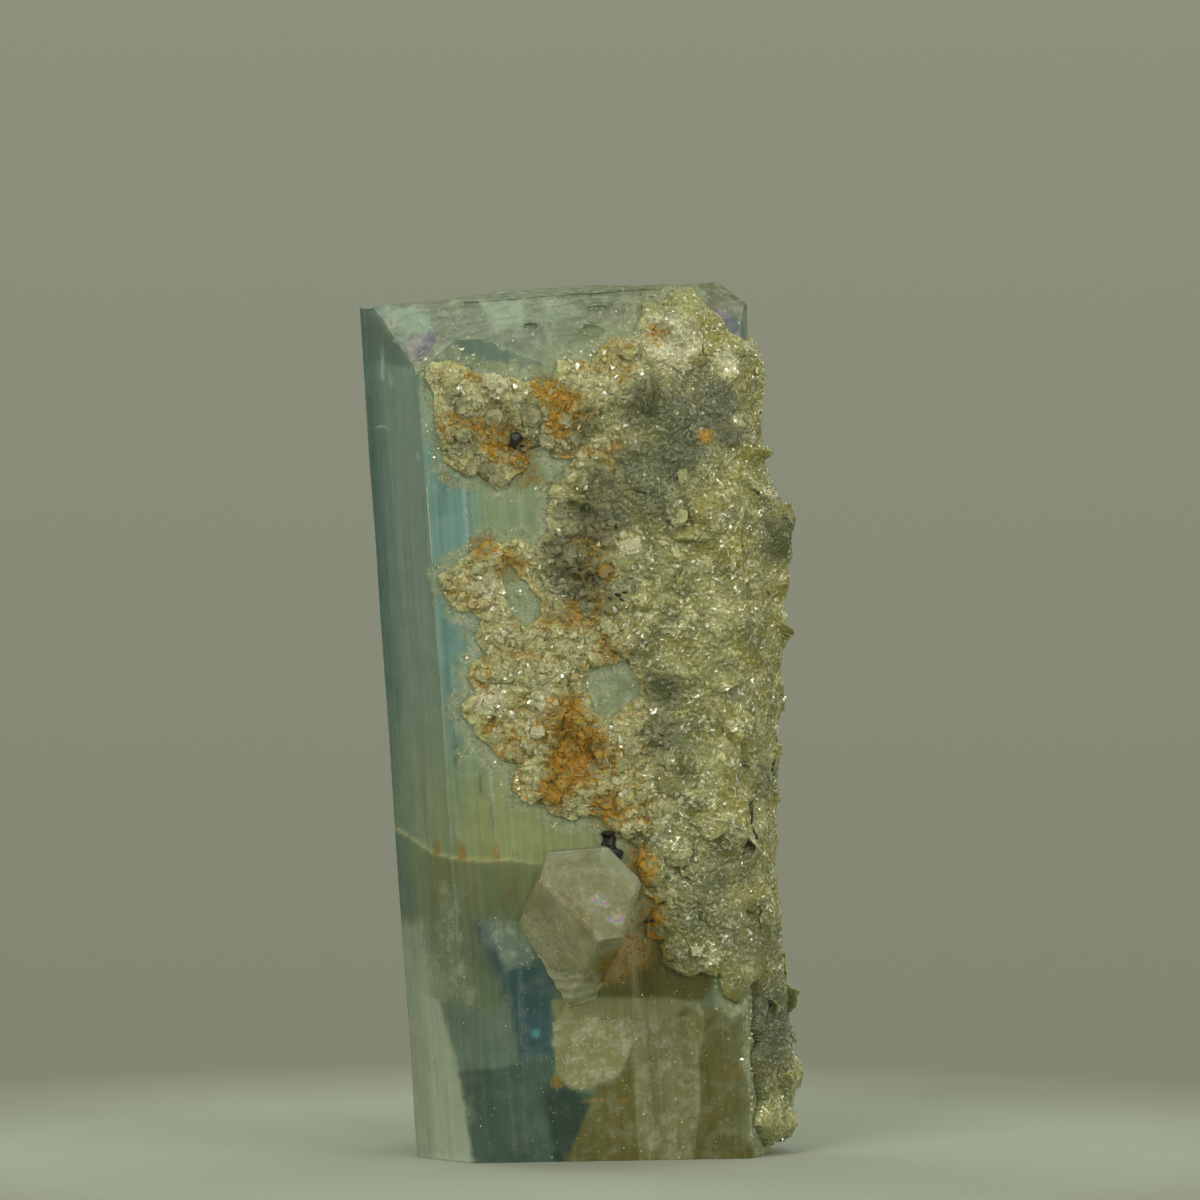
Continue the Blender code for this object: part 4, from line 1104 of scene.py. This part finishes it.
books_body = bmesh.new()
book_marks = {label: [] for label in ("flake", "rosette", "rim", "lump", "shade", "iron")}
book_plumes = []
for book_along, book_up, half_width, leaves, lean, turn, shade_here in BOOKS:
    seat = front_surface(book_along, book_up)
    facing = Matrix.Rotation(math.radians(turn), 4, INWARD) @ Matrix.Rotation(math.radians(lean), 4, ALONG)
    stand = Matrix.Translation(seat) @ facing @ CRYSTAL.to_3x3().to_4x4()
    outline = [half_width * (1 + draw.uniform(-1, 1) * BOOK_RUGGEDNESS) for _ in range(LEAF_SIDES)]
    for leaf in range(leaves):
        twist = draw.uniform(-LEAF_TWIST, LEAF_TWIST)
        shrink = 1 - LEAF_SHRINK * leaf + draw.uniform(-0.05, 0.05)
        depth = BOOK_RISE - 1.5 * LEAF_THICKNESS * leaf
        rings = []
        levels = (depth, 1.0), (depth - LEAF_THICKNESS, 0.97), (depth - 1.3 * LEAF_THICKNESS, 0.5)
        for level, reach in levels:
            ring = []
            for side, radius in enumerate(outline):
                angle = math.tau * side / LEAF_SIDES + twist
                far = radius * shrink * reach
                wave = LEAF_WAVE * math.sin(3 * angle + leaf) * reach
                off_middle_of_book = Vector((far * math.cos(angle), level + wave, far * math.sin(angle)))
                ring.append(books_body.verts.new(stand @ off_middle_of_book))
                book_plumes.append(off_middle_of_book / ROSETTE)
                for label, value in (
                    ("flake", 0.35 + 0.55 * draw.random()), ("rosette", 1.0),
                    ("rim", 0.9 if reach > 0.9 else 0.2), ("lump", 0.1 + 0.004 * (turn % 90)),
                    ("shade", shade_here), ("iron", 0.35 * draw.random()),
                ):
                    book_marks[label].append(value)
            rings.append(ring)
        for outer_ring, inner_ring in zip(rings, rings[1:]):
            for side in range(LEAF_SIDES):
                next_side = (side + 1) % LEAF_SIDES
                corners = outer_ring[side], inner_ring[side], inner_ring[next_side], outer_ring[next_side]
                books_body.faces.new(corners)
        books_body.faces.new(list(reversed(rings[2])))
        books_body.faces.new(rings[0])
bmesh.ops.recalc_face_normals(books_body, faces=books_body.faces)
books = piece_of("mica_books", books_body)
for label, values in book_marks.items():
    store(books.data, label, np.array(values))
store(books.data, "plume", np.array(book_plumes), "FLOAT_VECTOR", "vector")
books.data.materials.append(flake_finish)
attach(books, "root")


# The clear crystal.
# A short colourless crystal of beryl on the lower front, glassy, with veils of healed cracks and ripples at
# its root, iron at its lower right, and a crack inside that shows the colours of a thin film.

CLEAR_IOR = 1.57
CLEAR_CLEARNESS = 0.7
CLEAR_CELL = 0.11
CLEAR_GAIN = 2.0
CLEAR_TONE = (118, 118, 86)
RIPPLE_TONE = (188, 190, 166)
CLEAR_VEILS = (0.78, 0.77, 0.62, 1)
# The tone of the bright threads and of the painted glints.
CLEAR_GLINTS = (0.9, 0.9, 0.8, 1)

# Relief in millimetres: dents of healed growth, deeper at the root, and ripples about a point along and up.
DENT_DEPTH = 0.008
ROOT_DENTS = 0.05
RIPPLE_MIDDLE = (5.2, 10.6)
RIPPLE_WIDTH = 0.5
RIPPLE_HEIGHT = 0.035

# Its facets as the front shows them: outline, tone, softness, how far the edge wanders, strength, and veil.
CLEAR_ZONES = (
    (((4.2, 15.9), (3.0, 12.6), (3.5, 10.5), (5.4, 10.9), (4.3, 14.0)), (134, 128, 98), 0.08, 0.0, 0.9, 0.2),
    (((3.0, 12.6), (3.4, 10.4), (4.2, 8.2), (5.6, 9.8), (5.3, 11.0), (4.6, 12.2)), (142, 141, 112), 0.8, 2.0,
     0.8, 0.4),
    (((5.4, 10.8), (7.0, 10.6), (8.0, 11.4), (8.2, 10.6), (6.9, 8.6), (6.0, 7.8), (5.0, 8.8)), (126, 130, 96),
     0.2, 1.0, 0.9, 0.25),
    (((4.3, 14.0), (5.4, 10.9), (7.0, 10.7), (7.9, 11.6), (8.8, 13.5), (7.8, 15.1), (6.5, 15.9), (4.2, 15.8)),
     (124, 124, 92), 0.08, 0.0, 0.95, 0.2),
    (((4.6, 13.6), (5.4, 11.1), (6.0, 11.3), (6.2, 12.2), (5.6, 12.8)), (118, 110, 72), 0.1, 0.5, 0.7, 0.1),
    (((4.2, 15.3), (6.4, 15.2), (7.6, 14.5), (8.7, 13.2), (9.0, 13.6), (7.9, 15.4), (6.5, 16.4), (4.2, 16.4)),
     (122, 130, 112), 0.15, 0.2, 0.8, 0.05),
    (((4.3, 9.4), (5.2, 9.0), (6.4, 9.1), (6.9, 8.4), (6.0, 7.8), (4.2, 7.8)), (158, 160, 132), 0.3, 1.5, 0.6,
     0.6),
)
FILM_SPOTS = ((6.4, 13.1, 0.3, 1.0), (6.7, 12.7, 0.35, 1.0), (7.05, 12.35, 0.4, 1.0), (7.35, 12.1, 0.4, 1.0))
CLEAR_IRON = (
    (7.0, 9.6, 0.7, 1.0), (7.6, 9.9, 0.6, 1.1), (7.2, 9.0, 0.5, 1.1), (6.3, 15.3, 0.35, 0.5),
    (6.2, 9.0, 0.4, 0.5),
)

clear_body = merged_copy("clear_crystal")
cut_into_cells(clear_body, CLEAR_CELL, (7, 20), (2, 11), (-6, 1))
clear = piece_of("clear_crystal_body", clear_body)
places, normals = places_in_crystal(clear.data)
along, inward, up = places.T
dents = noise_at(places, 0.7, 31) + 0.5 * noise_at(places, 0.25, 32)
wobble = 0.16 * noise_at(places, 0.9, 33)
root = smooth_step(12.4, 9.6, up + 0.3 * along)
from_middle = np.hypot(along - RIPPLE_MIDDLE[0], up - RIPPLE_MIDDLE[1]) + 1.5 * wobble
ripples = np.sin(math.tau * from_middle / RIPPLE_WIDTH) * smooth_step(10.2, 9.0, up)
move_out(clear.data, normals, dents * (DENT_DEPTH + ROOT_DENTS * root) + RIPPLE_HEIGHT * ripples)
colours = np.tile(colour_of(CLEAR_TONE), (len(places), 1))
veil = np.full(len(places), 0.12)
for outline, tone, softness, wandering, strength, veiling in CLEAR_ZONES:
    share = smooth_step(-softness, softness, depth_inside(outline, along, up) + wobble * wandering)
    colours = lay_on(colours, (tone, share * strength))
    veil += (veiling - veil) * share
colours = lay_on(colours, (RIPPLE_TONE, 0.8 * smooth_step(0.6, 0.95, ripples + wobble)))
store_tint(clear.data, colours, CLEAR_GAIN)
store(clear.data, "cloud", veil)
store(clear.data, "iron", spots_at(CLEAR_IRON, along, up))
store(clear.data, "film", spots_at(FILM_SPOTS, along, up) * smooth_step(-2.5, -3.0, inward))

clear_finish, tree, surface = new_material(
    "clear beryl", IOR=CLEAR_IOR, Transmission_Weight=CLEAR_CLEARNESS, Metallic=0.0
)
here = put(tree, "ShaderNodeTexCoord", out=3)
cloud = kept_value(tree, "cloud")
glinting = flawed(tree, here, cloud, kept_value(tree, "tint", 0), CLEAR_VEILS, CLEAR_GLINTS)
ruffle = clouds_over(tree, here, 1500.0, 3.0, 0.6)
upward = put(tree, "ShaderNodeSeparateXYZ", here, out=2)
hue = reckon(tree, "FRACT", reckon(tree, "MULTIPLY_ADD", upward, 2600.0, times(tree, ruffle, 4.0)))
film_tone = put(tree, "ShaderNodeCombineColor", hue, 0.5, 0.85, mode="HSV")
film = times(tree, span(tree, kept_value(tree, "film"), 0.3, 0.9), span(tree, ruffle, 0.4, 0.5, 0.0, 0.9))
filmed = blend(tree, film, glinting, film_tone)
stain, stain_tone = use_group(tree, iron_stain, here, kept_value(tree, "iron"), 0.5)
fine = clouds_over(tree, here, 2600.0, 4.0, 0.6)
feed(
    tree, surface, Base_Color=blend(tree, stain, filmed, stain_tone),
    Roughness=reckon(tree, "MULTIPLY_ADD", cloud, 0.5, span(tree, fine, 0.4, 0.75, 0.04, 0.22)),
    Normal=put(tree, "ShaderNodeBump", 0.3, 0.00003, None, fine),
)
face_crystal(clear, clear_finish)
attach(clear, "root")
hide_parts("clear_crystal")


# The black grains.
# A few grains and one needle of black tourmaline grew among the mica. They are small, angular and glossy.

# Each: along and up the crystal, the size across and up, the number of grains, how far they spread, and the
# lean.
GRAINS = (
    (4.46, 36.0, 0.5, 0.46, 1, 0.0, 40), (4.95, 35.8, 0.16, 0.12, 1, 0.1, 0),
    (7.9, 15.75, 0.42, 0.34, 3, 0.32, -35), (8.25, 15.1, 0.3, 0.42, 3, 0.22, -25),
    (9.1, 27.9, 0.16, 0.1, 5, 0.42, 20), (15.25, 16.3, 0.09, 0.75, 1, 0.0, 8),
    (15.4, 15.3, 0.1, 0.55, 1, 0.0, -14), (15.2, 16.9, 0.07, 0.35, 1, 0.0, 42),
    (9.7, 11.3, 0.16, 0.12, 2, 0.2, 0), (-1.6, 43.3, 0.08, 0.06, 1, 0.0, 0),
)
GRAIN_CORNERS = 16
GRAIN_STAND = 0.45
BLACK = (0.006, 0.006, 0.006, 1)
# The sheen is painted: a lighter black along the growth lines.
BLACK_SHEEN = (0.022, 0.024, 0.018, 1)
draw = random.Random(11)

grains_body = bmesh.new()
for grain_along, grain_up, half_width, half_height, count, spread, lean in GRAINS:
    for _ in range(count):
        shift = [draw.uniform(-spread, spread) for _ in range(2)]
        seat = front_surface(grain_along + shift[0], grain_up + shift[1])
        if seat is None:
            continue
        seat -= INWARD * half_width * GRAIN_STAND * MM
        leaning = Matrix.Rotation(math.radians(lean), 4, "Y")
        stand = Matrix.Translation(seat) @ CRYSTAL.to_3x3().to_4x4() @ leaning
        corners = []
        for _ in range(GRAIN_CORNERS):
            ray = Vector([draw.gauss(0, 1) for _ in range(3)]).normalized()
            sizes = Vector((half_width, half_width * 0.8, half_height)) * draw.uniform(0.8, 1.1)
            corners.append(grains_body.verts.new(stand @ (ray * sizes)))
        bmesh.ops.convex_hull(grains_body, input=corners)
loose = [vertex for vertex in grains_body.verts if not vertex.link_faces]
bmesh.ops.delete(grains_body, geom=loose, context="VERTS")
grains_piece = piece_of("tourmaline_grains", grains_body)
grain_finish, tree, surface = new_material("black tourmaline", IOR=1.63, Metallic=0.0, Specular_IOR_Level=0.3)
here = put(tree, "ShaderNodeTexCoord", out=3)
lines, patches = use_group(tree, growth_lines, here, 0.00008, 0.2)
feed(
    tree, surface, Base_Color=blend(tree, span(tree, lines, 0.35, 0.65), BLACK, BLACK_SHEEN),
    Roughness=span(tree, patches, 0.3, 0.7, 0.35, 0.6),
    Normal=put(tree, "ShaderNodeBump", 0.5, 0.00002, None, lines),
)
grains_piece.data.materials.append(grain_finish)
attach(grains_piece, "root")


# The stage.
# A plain pale floor that fades into a grey-green backdrop, and soft studio light.

BACKDROP_TOP = (142, 145, 125)
BACKDROP_LOW = (131, 134, 114)
FLOOR_TONE = (0.295, 0.32, 0.275, 1)
FLOOR_RADIUS = 120 * MM
FLOOR_GAP = 0.02 * MM
FLOOR_FADES = (30 * MM, 52 * MM)

stage_body = bmesh.new()
bmesh.ops.create_circle(stage_body, cap_ends=True, segments=96, radius=FLOOR_RADIUS)
floor = piece_of("floor", stage_body)
floor.location.z = -FLOOR_GAP
floor_finish, tree, surface = new_material(
    "pale floor", Base_Color=FLOOR_TONE, Roughness=0.9, Metallic=0.0, Specular_IOR_Level=0.1
)
here = put(tree, "ShaderNodeTexCoord", out=3)
from_middle = put(tree, "ShaderNodeVectorMath", here, (0, 0, 0), operation="DISTANCE", out=1)
feed(tree, surface, Alpha=span(tree, from_middle, *FLOOR_FADES, 1.0, 0.0))
floor.data.materials.append(floor_finish)

world = bpy.data.worlds.new("backdrop")
world.use_nodes = True
bpy.context.scene.world = world
tree = world.node_tree
elevation = put(tree, "ShaderNodeSeparateXYZ", put(tree, "ShaderNodeTexCoord"), out=2)
low, top = ((*colour_of(tone), 1) for tone in (BACKDROP_LOW, BACKDROP_TOP))
feed(tree, tree.nodes["Background"].inputs, Color=blend(tree, span(tree, elevation, -0.085, 0.02), low, top))

# Each lamp: where it is, the size of its face, its power in watts, and its colour.
LAMPS = (
    ("key", (-0.3, -0.5, 0.4), 0.3, 2.4, (1.0, 0.97, 0.84)),
    ("fill", (0.5, -0.4, 0.2), 0.35, 2.0, (1.0, 0.98, 0.86)),
    ("top", (0.05, 0.0, 0.6), 0.35, 1.0, (0.96, 1.0, 0.88)),
    ("back", (-0.45, 0.4, 0.4), 0.35, 1.4, (0.98, 1.0, 0.88)),
    ("back right", (0.45, 0.45, 0.3), 0.35, 1.0, (0.98, 1.0, 0.9)),
    ("sparkle", (0.12, -0.6, 0.3), 0.06, 0.6, (1.0, 0.98, 0.9)),
    ("sparkle low", (-0.2, -0.55, 0.12), 0.06, 0.3, (1.0, 0.98, 0.9)),
)
for name, place, width, power, tone in LAMPS:
    lamp = bpy.data.lights.new(name, "AREA")
    lamp.size = width
    lamp.energy = power
    lamp.color = tone
    holder = bpy.data.objects.new(name, lamp)
    bpy.context.scene.collection.objects.link(holder)
    holder.location = place
    holder.rotation_euler = (AIM - Vector(place)).to_track_quat("-Z", "Y").to_euler()

bpy.context.scene.view_settings.view_transform = "Standard"
